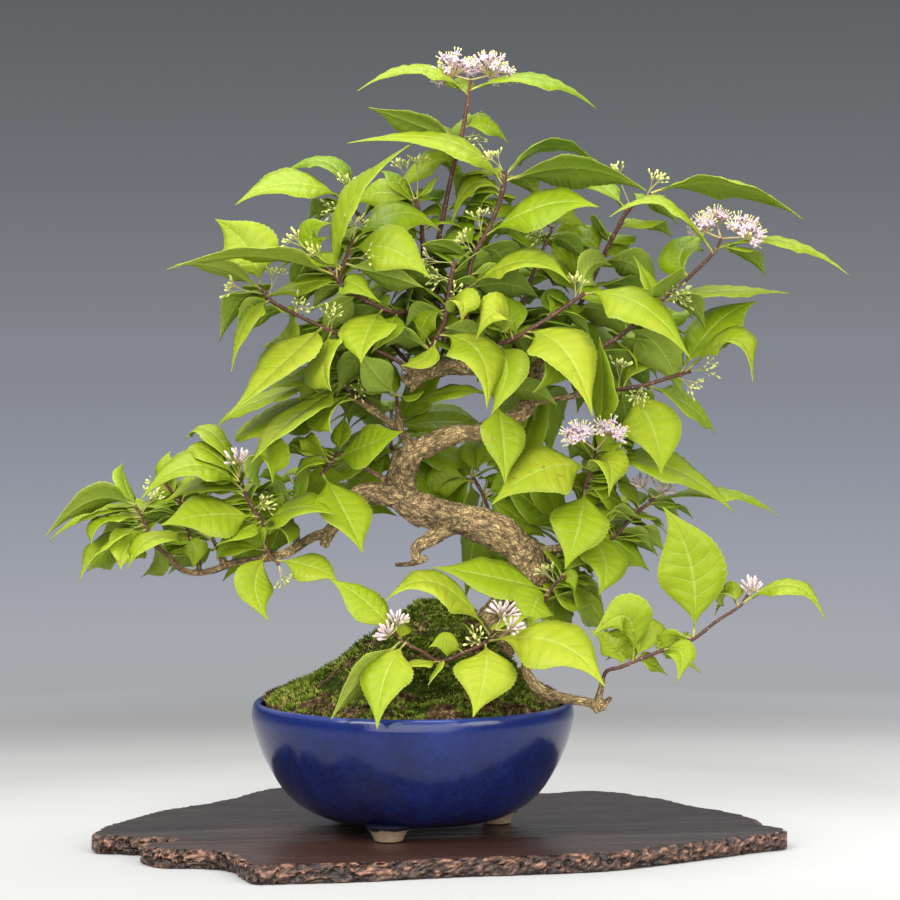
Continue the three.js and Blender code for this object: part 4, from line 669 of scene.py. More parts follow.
def leaf_finish(name, colours, vein_colour, under=False):
    """A blade's green by its tone, paler along its veins, with a painted highlight along its edge and a
    little painted shade in the valleys between side veins, rusty in places.
    """
    finish = Finish(name, 0.6 if under else 0.4, 0.1 if under else 0.24)
    midrib, side, net, valley, off = vein_lines(finish)
    mottle = finish.between(finish.noise(55.0, 4.0), 0.3, 0.7, -0.17, 0.17)
    tone = finish.maths("ADD", finish.attribute("tone"), mottle, clamp=True)
    blade = finish.ramp(tone, *zip((0.0, 0.35, 0.7, 1.0), colours))
    # Painted shade: the valleys between side veins are painted a little darker.
    blade = finish.mix(finish.times(valley, 0.12), blade, shade_of(colours[0], 1.2))
    # Painted highlight: a pale rim painted along the edge of the blade.
    blade = finish.mix(finish.between(off, 0.88, 1.0, 0.0, 0.5), blade, vein_colour)
    lines = finish.maths("MAXIMUM", finish.times(midrib, 0.65), finish.times(side, 0.45))
    lines = finish.maths("MAXIMUM", lines, finish.times(net, 0.1))
    blade = finish.mix(lines, blade, vein_colour)
    rust = finish.times(finish.between(finish.noise(190.0, 2.0), 0.67, 0.74), finish.attribute("rust"))
    blade = finish.mix(finish.times(rust, 0.75), blade, (0.32, 0.16, 0.03))
    finish.colour(blade)
    relief = finish.plus(finish.blend(side, 0.9, net, 0.05), finish.plus(midrib, finish.times(valley, 0.6)))
    finish.bump(relief if under else finish.times(relief, -1.0), 0.45, 0.0005)
    finish.let_light_through(finish.mix(0.4, blade, colours[3]), 0.34)


def young_bark_finish(name, colour):
    """Thin red-brown bark with pale pores."""
    finish = Finish(name, 0.55, 0.35)
    bark = finish.shades(finish.noise(90.0), colour, (0.3, 0.55), (0.55, 1), (0.8, 1.7))
    pores = finish.between(finish.noise(900.0, 1.0), 0.63, 0.7)
    finish.colour(finish.mix(finish.times(pores, 0.6), bark, (0.45, 0.33, 0.2)))
    finish.bump(finish.noise(700.0, 2.0), 0.4, 0.0002)


def soft_finish(name, colour, roughness=0.6, variation=0.35, scale=160.0, glow=0.0):
    """Stalks, buds and petals: one cloudy colour, which may let some light through."""
    finish = Finish(name, roughness, 0.3)
    cloud = finish.noise(scale, 2.0)
    tints = finish.shades(cloud, colour, (0.3, 1 - variation), (0.7, 1 + variation))
    finish.colour(tints)
    finish.bump(cloud, 0.2, 0.0002)
    if glow:
        finish.let_light_through(tints, glow)


# Leaves. Lengths are in millimetres, shares run along the midrib or out from it to the edge.

LEAF_STATIONS = 40
LEAF_COLUMNS = (0, 0.1, 0.55, 1)
FILLER_STATIONS = 20
FILLER_COLUMNS = (0, 0.4, 1)
LEAF_VEINS = 9
LEAF_SLANT = 0.13
VEIN_CURVE = 1.25
PETIOLE_SHARE = 0.07
LEAF_SHAPE = 0.46
LEAF_SPREAD = 1.09
WIDEST_LEAF = 34.0
TOOTHED_LENGTH = 30.0
LONG_LEAF = 43
PUCKERED_WIDTH = 26
NARROWEST_HALF = 0.14
MIDRIB_THICKNESS = 0.75
MIDRIB_GROOVE = 0.25
MISFIT = 4
CROWN_AXIS = (20, -10)
OUTWARD_RISE = 30.0

# Half the width of a blade along its midrib, as a share of its greatest half width
BLADE_OUTLINE = spline([
    (0.07, 0.012), (0.11, 0.05), (0.16, 0.2), (0.23, 0.5), (0.31, 0.8), (0.39, 0.97), (0.46, 1.0),
    (0.54, 0.94), (0.62, 0.8), (0.7, 0.6), (0.78, 0.38), (0.86, 0.2), (0.93, 0.085), (1.0, 0.01),
], 8)[0]

# How a leaf may have bent to make room: steps of its middle and tip towards the eye, share of length
BENDS = [
    (0, 0, 1), (4, 10, 1), (-4, -10, 1), (8, 20, 1), (-8, -20, 1), (9, 2, 1), (-9, -2, 1),
    (13, 30, 1), (-13, -30, 1), (16, 12, 1), (-16, -12, 1), (20, 42, 1), (-20, -42, 1),
    (0, 0, 0.8), (6, 14, 0.8), (-6, -14, 0.8), (12, 26, 0.8), (-12, -26, 0.8),
]


def towards_eye(points):
    return unit(np.array(EYE) - points)


def outward(points):
    """The side that a leaf at the back shows: away from the crown's axis and up."""
    points = np.asarray(points, float)
    rise = np.full(points.shape[:-1], OUTWARD_RISE)
    return unit(np.stack([points[..., 0] - CROWN_AXIS[0], points[..., 1] - CROWN_AXIS[1], rise], axis=-1))


class Leaf:
    """A midrib through root, middle and tip, and the way its blade turns to show a given width."""

    def __init__(self, root, middle, tip, shown, sight):
        self.root, self.middle, self.tip, self.shown, self.sight = root, middle, tip, shown, sight
        self.bend = 2 * middle - root / 2 - tip / 2
        course = self.point(np.linspace(0, 1, 41))
        self.length = np.linalg.norm(np.diff(course, axis=0), axis=1).sum()
        self.width = max(min(self.length * LEAF_SHAPE, WIDEST_LEAF), abs(shown))
        self.turn = min(abs(shown) / self.width, 1.0)
        self.side = -1.0 if shown < 0 else 1.0
        rise = np.cross(sight(middle), self.heading(np.array([0.5]))[0])
        self.rise_sign = -1.0 if rise[2] < 0 else 1.0

    def point(self, along):
        t = np.asarray(along)[:, None]
        return (1 - t) ** 2 * self.root + 2 * t * (1 - t) * self.bend + t * t * self.tip

    def heading(self, along):
        t = np.asarray(along)[:, None]
        return unit(2 * (1 - t) * (self.bend - self.root) + 2 * t * (self.tip - self.bend))

    def frames(self, along):
        """Middle, face normal and left side of the blade at places along the midrib."""
        centre, forward = self.point(along), self.heading(along)
        sight = self.sight(centre)
        rise = unit(np.cross(sight, forward)) * self.rise_sign
        facing = np.cross(forward, rise)
        facing *= np.where((facing * sight).sum(axis=1, keepdims=True) < 0, -1.0, 1.0)
        normal = facing * self.turn * self.side + rise * math.sqrt(1 - self.turn ** 2)
        return centre, normal, np.cross(normal, forward)

    def bent(self, middle_step, tip_step, share):
        middle = self.root + (self.middle - self.root) * share
        tip = self.root + (self.tip - self.root) * share
        middle = middle + self.sight(middle) * middle_step
        tip = tip + self.sight(tip) * tip_step
        return Leaf(self.root, middle, tip, self.shown * share, self.sight)

    def fitted(self, solid):
        """The same leaf bent as its solid is, or none where the solid has no such leaf."""
        marks = (0.42, 0.64, 1.0) if self.length >= LONG_LEAF else (0.48, 0.8, 1.0)
        tried = []
        for bend in BENDS:
            leaf = self.bent(*bend)
            away = sum(solid.find_nearest(Vector(p * MM))[3] for p in leaf.point(np.array(marks))) / MM
            tried.append((round(away, 3), len(tried), leaf))
        away, _, leaf = min(tried, key=lambda row: row[:2])
        return leaf if away < MISFIT else None


def master_leaf(finishes, stations, columns):
    """One flat blade with its thickness, whose places run along and across from 0 to 1 and -1 to 1."""
    rows = 2 * (len(columns) - 1)
    bpy.ops.mesh.primitive_grid_add(x_subdivisions=stations, y_subdivisions=rows, size=1)
    leaf = bpy.context.object
    for vertex in leaf.data.vertices:
        across = vertex.co.y * 2
        column = np.interp(abs(across), np.linspace(0, 1, len(columns)), columns)
        vertex.co = (vertex.co.x + 0.5, math.copysign(column, across), 0)
    leaf.data.uv_layers[0].name = "blade"
    for loop in leaf.data.loops:
        place = leaf.data.vertices[loop.vertex_index].co
        leaf.data.uv_layers["blade"].data[loop.index].uv = (place.x, (place.y + 1) / 2)
    for name in ("Leaf face", "Leaf underside"):
        leaf.data.materials.append(finishes[name])
    apply_modifier(leaf, "SOLIDIFY", thickness=1, offset=-1, material_offset=1)
    smooth(leaf)
    return {"object": leaf, "places": places_of(leaf), "stations": stations}


def lay_leaf(master, leaf, tone, sizes, chance):
    """A copy of the master blade, laid along a leaf's midrib, toothed, puckered and folded."""
    along, across, depth = master["places"].T
    off = np.abs(across)
    teeth = sizes.leaf_teeth * np.clip((along - 0.1) * 6, 0, 1) * np.clip((0.97 - along) * 8, 0, 1)
    is_edge = off > 0.99
    is_tooth = is_edge & (np.round(along * master["stations"]) % 2 == 0)
    if leaf.length < TOOTHED_LENGTH:
        teeth = teeth * 0.5
    course = along + np.where(is_tooth, 0.5 * (teeth > 0) / master["stations"], 0)
    t = PETIOLE_SHARE + (1 - PETIOLE_SHARE) * np.clip(course, 0, 1)
    centre, normal, left = leaf.frames(t)
    half = np.interp(t, BLADE_OUTLINE[:, 0], BLADE_OUTLINE[:, 1]) * leaf.width * LEAF_SPREAD / 2
    jag = np.where(is_edge, np.where(is_tooth, teeth, -teeth * 0.55), 0)
    half = np.maximum(half * (1 + jag), NARROWEST_HALF)
    fold, wave, phase = chance.uniform(-0.02, 0.26), chance.uniform(0.01, 0.06), chance.uniform(0, 6)
    lift = fold * half * off ** 1.2 - 0.16 * half * off ** 3
    lift += wave * half * np.sin(phase + along * 15 + across * 1.4) * off ** 2
    lift += 0.02 * half * np.sin(phase * 2 + along * 31 + across * 3) * off ** 3
    ribs = (along - LEAF_SLANT * off ** VEIN_CURVE) * LEAF_VEINS
    pucker = (0.5 - 0.5 * np.cos(2 * math.pi * ribs)) * np.minimum(off * 4, 1) * (1 - off ** 3)
    size = min(leaf.width / PUCKERED_WIDTH, 1.1)
    lift += sizes.leaf_pucker / MM * pucker * size * np.clip((0.95 - along) * 5, 0, 1)
    lift -= MIDRIB_GROOVE * np.exp(-(across / 0.05) ** 2) * (1 - along)
    ridge = MIDRIB_THICKNESS * np.exp(-(across / 0.07) ** 2) * (1 - 0.8 * along)
    thickness = sizes.leaf_thickness / MM + ridge
    spots = centre + left * (across * half)[:, None] + normal * (lift + depth * thickness)[:, None]
    blade = twin(master["object"])
    move_vertices(blade, spots)
    write_values(blade, "tone", tone)
    write_values(blade, "rust", chance.choice((0, 0, 0, 0, 0.5, 1)))
    return blade


def petiole(leaf):
    """The strand that carries a blade, from inside the stem."""
    t = np.linspace(0, PETIOLE_SHARE + 0.06, 6)
    points = leaf.point(t)
    points[0] -= leaf.heading(np.array([0.0]))[0] * 0.6
    points -= leaf.frames(t)[1] * np.linspace(0, 0.35, 6)[:, None]
    return points, np.linspace(0.75, 0.4, 6)


# Buds and blossom

FIFTH_TURN = 1.2566
GOLDEN_TURN = 2.39996
MOSTLY_OPEN = 0.5
GREEN_BUD_SHARE = 0.12
FLORET_REACH = 3.2
HEAD_LIFT = 1.5


def ring_solid(name, rings, material):
    """A small closed form from rings of (radius by place round it, height), from its foot up."""
    count = len(rings[0][0])
    points = [(math.cos(2 * math.pi * k / count) * radius, math.sin(2 * math.pi * k / count) * radius, height)
              for radii, height in rings for k, radius in enumerate(radii)]
    faces = []
    for start in range(0, (len(rings) - 1) * count, count):
        for k in range(count):
            a, b = start + k, start + (k + 1) % count
            faces.append((a, b, b + count, a + count))
    faces.append(tuple(range(count))[::-1])
    faces.append(tuple(range((len(rings) - 1) * count, len(rings) * count)))
    return mesh_object(name, points, [], faces, material)


def master_buds(finishes, sizes):
    """A forked spray of closed club-shaped buds, with its foot at the origin."""
    chance = random.Random(31)
    strands, clubs = [], []
    for side in range(3):
        turn = side * 2.1 + 0.4
        lean = np.array([math.cos(turn), math.sin(turn), 0])
        fork = lean * 1.9 + (0, 0, 5.4 + side * 0.9)
        strands.append((np.array([(0, 0, 0), lean * 0.6 + (0, 0, 2.8), fork]), [0.26, 0.22, 0.18]))
        for k in range(5):
            out = turn + k * FIFTH_TURN + 0.5
            reach = lean * 1.3 + np.array([math.cos(out), math.sin(out), 0]) * (2.3 if k else 0.3)
            tip = fork + reach * chance.uniform(0.8, 1.2) + (0, 0, chance.uniform(1.4, 3.4))
            knee = fork + (tip - fork) * 0.5 + (0, 0, 0.25)
            strands.append((np.array([fork, knee, tip]), [0.16, 0.14, 0.14]))
            clubs.append((tip, unit(tip - fork + (0, 0, 0.6)), chance.uniform(0.7, 1.2)))
    parts = [tubes("bud stalks", strands, finishes["Bud stalk"])]
    width, length = sizes.bud_width / 2, sizes.bud_length / 2
    for tip, heading, scale in clubs:
        bpy.ops.mesh.primitive_uv_sphere_add(segments=6, ring_count=5, radius=1)
        club = bpy.context.object
        for vertex in club.data.vertices:
            x, y, z = vertex.co
            taper = 0.66 + 0.34 * z
            vertex.co = (x * width * taper, y * width * taper, (z + 0.8) * length)
        place = Matrix.Translation(Vector(tip * MM)) @ turned_up(heading) @ Matrix.Scale(scale, 4)
        club.data.transform(place)
        club.data.materials.append(finishes["Bud"])
        smooth(club)
        parts.append(club)
    return join(parts, "bud spray")


def stood_copy(master, foot, towards, scale, twist):
    """A copy of a piece that stands on the origin, scaled and set on its foot to reach out."""
    piece = twin(master)
    piece.data.transform(Matrix.Translation(Vector(foot) * MM) @ turned_up(unit(towards))
                         @ Matrix.Rotation(twist, 4, "Z") @ Matrix.Scale(scale, 4))
    return piece


def master_floret(finishes):
    """An open floret: a funnel with four round lobes that fold back, three stamens and a style."""
    lobes, back = [2.2, 2.0, 0.9] * 4, [2.6, 2.35, 0.95] * 4
    throat = [0.7, 0.66, 0.55] * 4
    rings = [([0.4] * 12, 0), ([0.7] * 12, 1.8), (lobes, 3.2), (back, 2.7), (back, 2.95),
             ([r * 0.96 for r in lobes], 3.5), (throat, 2.7), ([0.2] * 12, 2.0)]
    strands, parts = [], [ring_solid("corolla", rings, finishes["Petal"])]
    for k, lean, height in ((0, 1.8, 5.6), (1, 1.8, 5.6), (2, 1.8, 5.6), (3, 0.3, 6.4)):
        turn = k * 2 * math.pi / 3 + 0.5
        tip = np.array([math.cos(turn) * lean, math.sin(turn) * lean, height])
        strands.append((np.array([(tip[0] * 0.2, tip[1] * 0.2, 2.1), tip]), [0.2, 0.18]))
        if k < 3:
            bpy.ops.mesh.primitive_ico_sphere_add(subdivisions=1, radius=0.42 * MM, location=tip * MM,
                                                  scale=(1, 1, 1.5))
            anther = bpy.context.object
            bpy.ops.object.transform_apply(location=True, rotation=True, scale=True)
            anther.data.materials.append(finishes["Anther"])
            parts.append(anther)
    parts.append(tubes("stamens", strands, finishes["Filament"]))
    return join(parts, "floret")


def master_club(name, width, length, material):
    """A closed bud on the head, from its narrow foot to its round end."""
    rings = [([width * share] * 7, length * rise)
             for share, rise in ((0.4, 0), (0.5, 0.4), (0.95, 0.75), (0.95, 0.92), (0.6, 1.08), (0.2, 1.14))]
    return ring_solid(name, rings, material)


def flower_head(centre, radius, foot, florets, finishes, chance, is_open):
    """A dome of open florets, or where few are open a loose fan of pale clubs, on forked stalks."""
    up = unit(unit(centre - foot) + (0, -0.15, 0.9))
    side = unit(np.cross(up, (0.3, 1, 0.2)))
    other = np.cross(up, side)
    base = centre - up * radius * 0.85
    count, spread = (int(8 + radius * 2.1), 0.92) if is_open > MOSTLY_OPEN else (int(6 + radius * 1.6), 0.55)
    shares = (is_open, 1 - GREEN_BUD_SHARE - is_open, GREEN_BUD_SHARE)
    parts, strands = [], []
    for k in range(count):
        height = 1 - (k + 0.5) / count * spread
        turn = k * GOLDEN_TURN + chance.uniform(-0.35, 0.35)
        flat = math.sqrt(max(1 - height * height, 0))
        out = unit(up * height + (side * math.cos(turn) + other * math.sin(turn)) * flat)
        heading = unit(out + np.array([chance.uniform(-0.22, 0.22) for _ in range(3)]))
        seat = base + out * radius * chance.uniform(0.78, 1.08) - heading * FLORET_REACH
        kind = chance.choices(florets, shares)[0]
        parts.append(stood_copy(kind, seat, heading, chance.uniform(0.85, 1.15), turn))
        elbow = base + (seat - base) * 0.5 + up * 0.4
        strands.append((np.array([base, elbow, seat]), [0.28, 0.2, 0.18]))
    strands.append((np.array([foot, (foot + base) / 2 + up * 0.2, base + up * 0.3]), [0.58, 0.5, 0.42]))
    parts.append(tubes("stalks", strands, finishes["Flower stalk"]))
    return parts


# Wood of the trunk and branches, in millimetres

BARK_STRETCH = 0.42
GRAIN_SIDE = (0.35, -0.9, 0.25)
STRAND_SPACING = 40
THIN_WOOD = 1.2
KNOTTY_WOOD = 1.6
BACK_STEM_RADIUS = 1.6
STUB_LENGTH = 12.0


def wood_strands():
    """Every woody stem as finely spaced (points, radii), the trunk first."""
    strands = []
    for route, steps in [(TRUNK_ROUTE, 8)] + [(route, 6) for route in BRANCHES.values()]:
        points, _ = spline(route_spots(route), steps)
        radii = spread_radii([row[3] for row in route], steps)
        along = np.arange(len(points)) / steps
        knots = 0.07 * np.sin(along * 2.9 + 0.6) + 0.045 * np.sin(along * 7.1 + len(route))
        strands.append((points, radii * (1 + knots * (radii > KNOTTY_WOOD))))
    for start in BACK_SHOOTS:
        reach = np.linspace(0, start.get("stub", STUB_LENGTH), 6)
        points = spot(*start["at"]) + radial(start["heading"], start["climb"]) * reach[:, None]
        strands.append((points, np.linspace(1.35, 1, 6) * BACK_STEM_RADIUS))
    return strands


def bark_grain(strands, spots):
    """For each place on the bark: the nearest stem's radius, its outward side, and a vector that
    runs round and along that stem, for patterns that follow the wood."""
    rows, tree = [], KDTree(sum(len(points) for points, _ in strands))
    for number, (points, radii) in enumerate(strands):
        tangents = unit(np.gradient(points, axis=0))
        lengths = np.r_[0, np.cumsum(np.linalg.norm(np.diff(points, axis=0), axis=1))]
        side = np.array(GRAIN_SIDE)
        for point, radius, tangent, length in zip(points, radii, tangents, lengths):
            side = unit(side - tangent * side.dot(tangent))
            tree.insert(Vector(point), len(rows))
            rows.append((point, tangent, side, length + number * STRAND_SPACING, radius))
    tree.balance()
    nearest = [tree.find(Vector(place))[1] for place in spots]
    points, tangents, sides, lengths, radii = (np.array([rows[i][k] for i in nearest]) for k in range(5))
    away = spots - points
    along = (away * tangents).sum(axis=1)
    away -= along[:, None] * tangents
    outward_side = unit(away)
    cosine = (outward_side * sides).sum(axis=1) * radii
    sine = (outward_side * np.cross(tangents, sides)).sum(axis=1) * radii
    return radii, outward_side, np.c_[cosine, sine, (lengths + along) * BARK_STRETCH]


def bark_finish(colours):
    """Pale tan bark with lengthwise wrinkles, darker in its furrows and redder on thin branches."""
    finish = Finish("Bark", 0.62, 0.4)
    grain = finish.attribute("grain", "Vector")
    streaks = finish.noise(0.55, 6.0, 0.68, grain)
    tone = finish.blend(streaks, 0.65, finish.noise(60.0, 4.0, 0.6), 0.35)
    wood = finish.shades(tone, colours.bark, (0.37, 0.12), (0.45, 0.5), (0.52, 1), (0.61, 2.0))
    bent = finish.vectors("ADD", grain, finish.swirls(grain, 0.8, 2.0))
    cracks = finish.between(finish.cell_edges(bent, 0.8), 0.0, 0.16, 1.0, 0.0)
    wood = finish.mix(finish.times(cracks, 0.6), wood, shade_of(colours.bark, 0.12))
    furrows = finish.between(finish.attribute("relief"), -1.3, -0.1, 0.65, 0.0)
    wood = finish.mix(furrows, wood, shade_of(colours.bark, 0.22))
    thin = finish.between(finish.attribute("girth"), THIN_WOOD, 2.2, 0.6, 0.0)
    finish.colour(finish.mix(thin, wood, colours.young_bark))
    ridges = finish.minus(finish.noise(1.3, 5.0, 0.7, grain), finish.times(cracks, 0.5))
    finish.bump(finish.plus(streaks, ridges), 0.9, 0.0013)
    return finish.material


def build_wood(sizes, colours):
    """Trunk and branches run together into one skin, then wrinkled along their grain."""
    strands = wood_strands()
    wood = tubes("tree_wood", strands, bark_finish(colours), fineness=6)
    apply_modifier(wood, "REMESH", mode="VOXEL", voxel_size=sizes.bark_detail)
    apply_modifier(wood, "SMOOTH", factor=0.5, iterations=3)
    spots = places_of(wood) / MM
    girth, side, grain = bark_grain(strands, spots)
    relief = np.array([0.9 * (1 - 3 * abs(uneven(place, 0.5))) + 0.8 * uneven(place, 1.4) for place in grain])
    lumps = np.array([uneven(place, 0.13) + 0.5 * uneven(place, 0.3) for place in spots])
    depth = sizes.bark_relief / MM * np.clip((girth - THIN_WOOD) / 4, 0, 1)
    move_vertices(wood, spots + side * (depth * (relief + 1.6 * lumps))[:, None])
    write_values(wood, "relief", relief)
    write_values(wood, "girth", girth)
    layer = wood.data.attributes.new("grain", "FLOAT_VECTOR", "POINT")
    layer.data.foreach_set("vector", grain.astype(np.float32).ravel())
    smooth(wood)
    dress(wood, "bark", "trunk")


# Shoots, in millimetres

ROOT_SPACING = 2.4
SHOOT_GAP = 0.5
STEM_SHARE = 0.7
SPRAY_REACH = 9.0
# Filler leaves sit at the back and get a darker tone, as painted shade.
FILLER_PAINTED_SHADE = 0.06
CROWN_HEART = (15, 0, 275)
LOW_SHOOT = 210
GAP_REACH = (9, 30)
DRAW_SEED = 20817
DRAW_RANGE = 4294967296

# Gaps that the foliage closes behind the trunk: across, up and deep
GAPS = [
    (4, 228, 30), (14, 222, 34), (24, 230, 30), (34, 224, 36), (16, 212, 40), (2, 192, 34), (14, 196, 36),
    (24, 188, 40), (30, 198, 36), (10, 180, 34), (20, 176, 40), (50, 182, 26), (58, 172, 24), (66, 180, 28),
    (48, 168, 26), (58, 206, 30), (68, 214, 34), (78, 200, 30), (46, 214, 36), (70, 192, 26), (-36, 190, 26),
    (-26, 182, 30), (-44, 182, 22), (-18, 192, 32), (-30, 172, 26), (30, 150, 30), (44, 148, 30),
    (16, 152, 32), (84, 176, 20), (92, 186, 22), (-80, 150, 20), (-66, 156, 22), (-140, 144, 20),
    (-150, 150, 16), (104, 150, 10), (78, 130, 6), (88, 122, 4), (70, 118, 2),
]

# Where the foliage is thickest: middle and half sizes across and up, and leaves for a node
THICKETS = [(15, 280, 130, 100, 3.6), (-85, 180, 75, 45, 3.6), (100, 170, 85, 60, 6), (90, 130, 60, 34, 5)]


def neighbours_of(course):
    """What comes before and after each point of a course, and nothing past its ends."""
    return list(zip([None, *course[:-1]], [*course[1:], None]))


def spread_roots(points, neighbours, rows):
    """Roots of what grows from a stem, spread along it so that each stands by itself."""
    roots = [None] * len(rows)
    for node, point in enumerate(points):
        before, after = neighbours[node]
        ends_here = after is None
        before = point if before is None else before
        after = point if ends_here else after
        along = unit(after - before)
        here = sorted((i for i, row in enumerate(rows) if row[0] == node),
                      key=lambda i: unit(rows[i][1] - point).dot(along))
        middle_step = len(here) - 0.6 if ends_here else (len(here) - 1) / 2
        for k, i in enumerate(here):
            step = (k - middle_step) * ROOT_SPACING
            roots[i] = point + unit((before if step < 0 else after) - point) * abs(step)
    return roots


def radii_of(route):
    """A route's radii, the first one twice, as it also holds where the route sets out."""
    return [route[0][3]] + [row[3] for row in route]


def stem_plan(shoot):
    """Points of a shoot's stem and twigs, what comes before and after each, and their strands."""
    end, heading = lead_in(route_spots(BRANCHES[shoot["from"]]))
    points = [end + heading * SHOOT_GAP, *route_spots(shoot["route"])]
    radii = radii_of(shoot["route"])
    neighbours = neighbours_of(points)
    strands = [([end - heading * 2, *points], [radii[0], *radii])]
    for twig in shoot.get("twigs", []):
        course = [points[twig["node"]], *route_spots(twig["route"])]
        strands.append((course, radii_of(twig["route"])))
        points += course[1:]
        neighbours += neighbours_of(course)[1:]
    return points, neighbours, strands


def fine_strands(strands):
    """Smooth strands with a slight swelling at every node."""
    fine = []
    for points, radii in strands:
        places, _ = spline(points, 6)
        swelling = 1 + 0.16 * np.cos(np.arange(len(places)) / 6 * 2 * math.pi) ** 8
        fine.append((places, spread_radii(radii, 6) * swelling * STEM_SHARE))
    return fine


def leaf_tone(middle, chance):
    """Front leaves get the lightest tone as painted light, those high up and inside the crown the darkest as
    painted shade, each with some random spread.
    """
    ahead = np.clip((25 - middle[1]) / 70, 0, 1)
    height = np.clip((middle[2] - 110) / 260, 0, 1)
    inside = math.hypot((middle[0] - 20) / 90, (middle[2] - 270) / 80) < 0.75 and middle[1] > -18
    tone = 0.38 + 0.42 * ahead - 0.08 * height - 0.14 * inside + chance.uniform(-0.22, 0.22)
    return float(np.clip(tone, 0.02, 1))


def seen_leaf(points, row):
    """A leaf's node, its middle and tip and the width that it shows, from its row in the tables."""
    node, middle_across, middle_up, tip_across, tip_up, tip_deep, shown = row
    middle = spot(middle_across, middle_up, (points[node][1] + tip_deep) / 2)
    return node, middle, spot(tip_across, tip_up, tip_deep), shown


def fitted_leaves(name, roots, rows, sight):
    """The leaves of a shoot that its solid has, bent as they are there."""
    solid = BVHTree.FromObject(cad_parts[name], bpy.context.evaluated_depsgraph_get())
    leaves = [Leaf(root, middle, tip, shown, sight).fitted(solid)
              for root, (_, middle, tip, shown) in zip(roots, rows)]
    return [leaf for leaf in leaves if leaf]


def crowding(place):
    """How many filler leaves a node gets, most in the middle of a thicket."""
    return max(0.5, *(min(2 - 2 * math.hypot((place[0] - x) / wide, (place[2] - z) / high), 1) * most
                      for x, z, wide, high, most in THICKETS))


def gap_leaves(points, gaps):
    """Leaves that reach from the nearest node into the gaps which are still open behind the trunk."""
    leaves = []
    for gap in list(gaps):
        middle = spot(*gap)
        reaches = [np.linalg.norm(middle - point) for point in points[1:]]
        reach = min(reaches)
        root = points[1 + int(np.argmin(reaches))]
        if GAP_REACH[0] < reach < GAP_REACH[1]:
            gaps.remove(gap)
            tip = middle + (middle - root) * 0.8 - (0, 0, 3 + 0.15 * reach)
            leaves.append(Leaf(root, middle, tip, 12 + 0.15 * reach, towards_eye))
    return leaves


def hides_trunk(middle, tip):
    """Whether a leaf would hang in front of the bare trunk."""
    return abs(tip[0] - CROWN_HEART[0]) < 50 and 120 < tip[2] < 235 and min(middle[1], tip[1]) < 14


def filler_leaves(points, neighbours, chance):
    """Leaves on the far side of a stem, at its nodes and between them, which close the crown."""
    leaves = []
    for point, (before, _) in list(zip(points, neighbours))[1:]:
        stretch = point - before
        along = unit(stretch)
        is_low = point[2] < LOW_SHOOT
        for _ in range(int(crowding(point) + chance.random())):
            root = before + stretch * chance.uniform(0.15, 1)
            rise = chance.uniform(0.05, 0.6) if is_low else chance.uniform(-0.35, 0.5)
            out = np.array([chance.uniform(-1, 1), chance.uniform(0.05, 1.1), rise])
            out += (root - CROWN_HEART) * (0.008, 0, 0.0 if is_low else 0.006)
            out = unit(out - along * out.dot(along) * 0.7)
            length = chance.uniform(20, 34) if is_low else chance.uniform(22, 42)
            droop = chance.uniform(0.05, 0.2) if is_low else chance.uniform(0.12, 0.42)
            middle = root + out * length * 0.5 + (0, 0, length * 0.07)
            tip = root + out * length * 0.93 - (0, 0, length * droop)
            if not hides_trunk(middle, tip):
                leaves.append(Leaf(root, middle, tip, length * chance.uniform(0.2, 0.45), outward))
    return leaves


def grow_shoot(name, strands, leaves, fillers, sprays, masters, finishes, sizes, chance):
    """One leafy shoot as a single piece: stem, petioles, blades and bud sprays."""
    blades = []
    # Filler leaves take a darker tone, as painted shade.
    for kind, shade, group in (("leaf", 0.0, leaves), ("filler", FILLER_PAINTED_SHADE, fillers)):
        for leaf in group:
            tone = leaf_tone(leaf.middle, chance) - shade
            blades.append(lay_leaf(masters[kind], leaf, tone, sizes, chance))
    stalks, buds = [], []
    for root, middle in sprays:
        away = middle - root
        reach = np.linalg.norm(away)
        scale = min(1.0, reach / SPRAY_REACH + 0.25)
        foot = middle - unit(away) * min(SPRAY_REACH * scale, reach)
        if reach > SPRAY_REACH:
            stalks.append((np.array([root, (root + foot) / 2, foot]), [0.3, 0.27, 0.24]))
        buds.append(stood_copy(masters["buds"], foot, away, scale, chance.uniform(0, 6)))
    if stalks:
        buds.append(tubes("spray stalks", stalks, finishes["Bud stalk"]))
    stem = tubes("stem", fine_strands(strands), finishes["Young bark"], fineness=2)
    petioles = tubes("petioles", [petiole(leaf) for leaf in leaves + fillers], finishes["Petiole"])
    for part in (stem, petioles, *buds):
        write_values(part, "tone", 0.5)
    dress(join([stem, petioles, *blades, *buds], name.replace("shoot", "leafy_shoot")), "leafy_shoot", name)


def build_front_shoots(masters, finishes, sizes, gaps):
    for number, shoot in enumerate(SHOOTS):
        chance = random.Random(500 + number)
        name = shoot["name"]
        points, neighbours, strands = stem_plan(shoot)
        buds = [(row[0], spot(*row[1:])) for row in shoot["buds"]]
        rows = [seen_leaf(points, row) for row in shoot["leaves"]]
        roots = spread_roots(points, neighbours, buds + rows)
        leaves = fitted_leaves(name, roots[len(buds):], rows, towards_eye)
        for row in SMALL_LEAVES.get(name, []):
            leaves.append(Leaf(points[row[0]], *seen_leaf(points, row)[1:], towards_eye))
        fillers = filler_leaves(points, neighbours, chance) + gap_leaves(points, gaps)
        sprays = [(root, middle) for root, (_, middle) in zip(roots, buds)]
        grow_shoot(name, strands, leaves, fillers, sprays, masters, finishes, sizes, chance)


class Draw:
    """The seeded draw that places the shoots at the back of the crown, as in the solids."""

    def __init__(self):
        self.value = DRAW_SEED

    def __call__(self, low, high):
        self.value = (self.value * 1664525 + 1013904223) % DRAW_RANGE
        return low + (high - low) * self.value / DRAW_RANGE


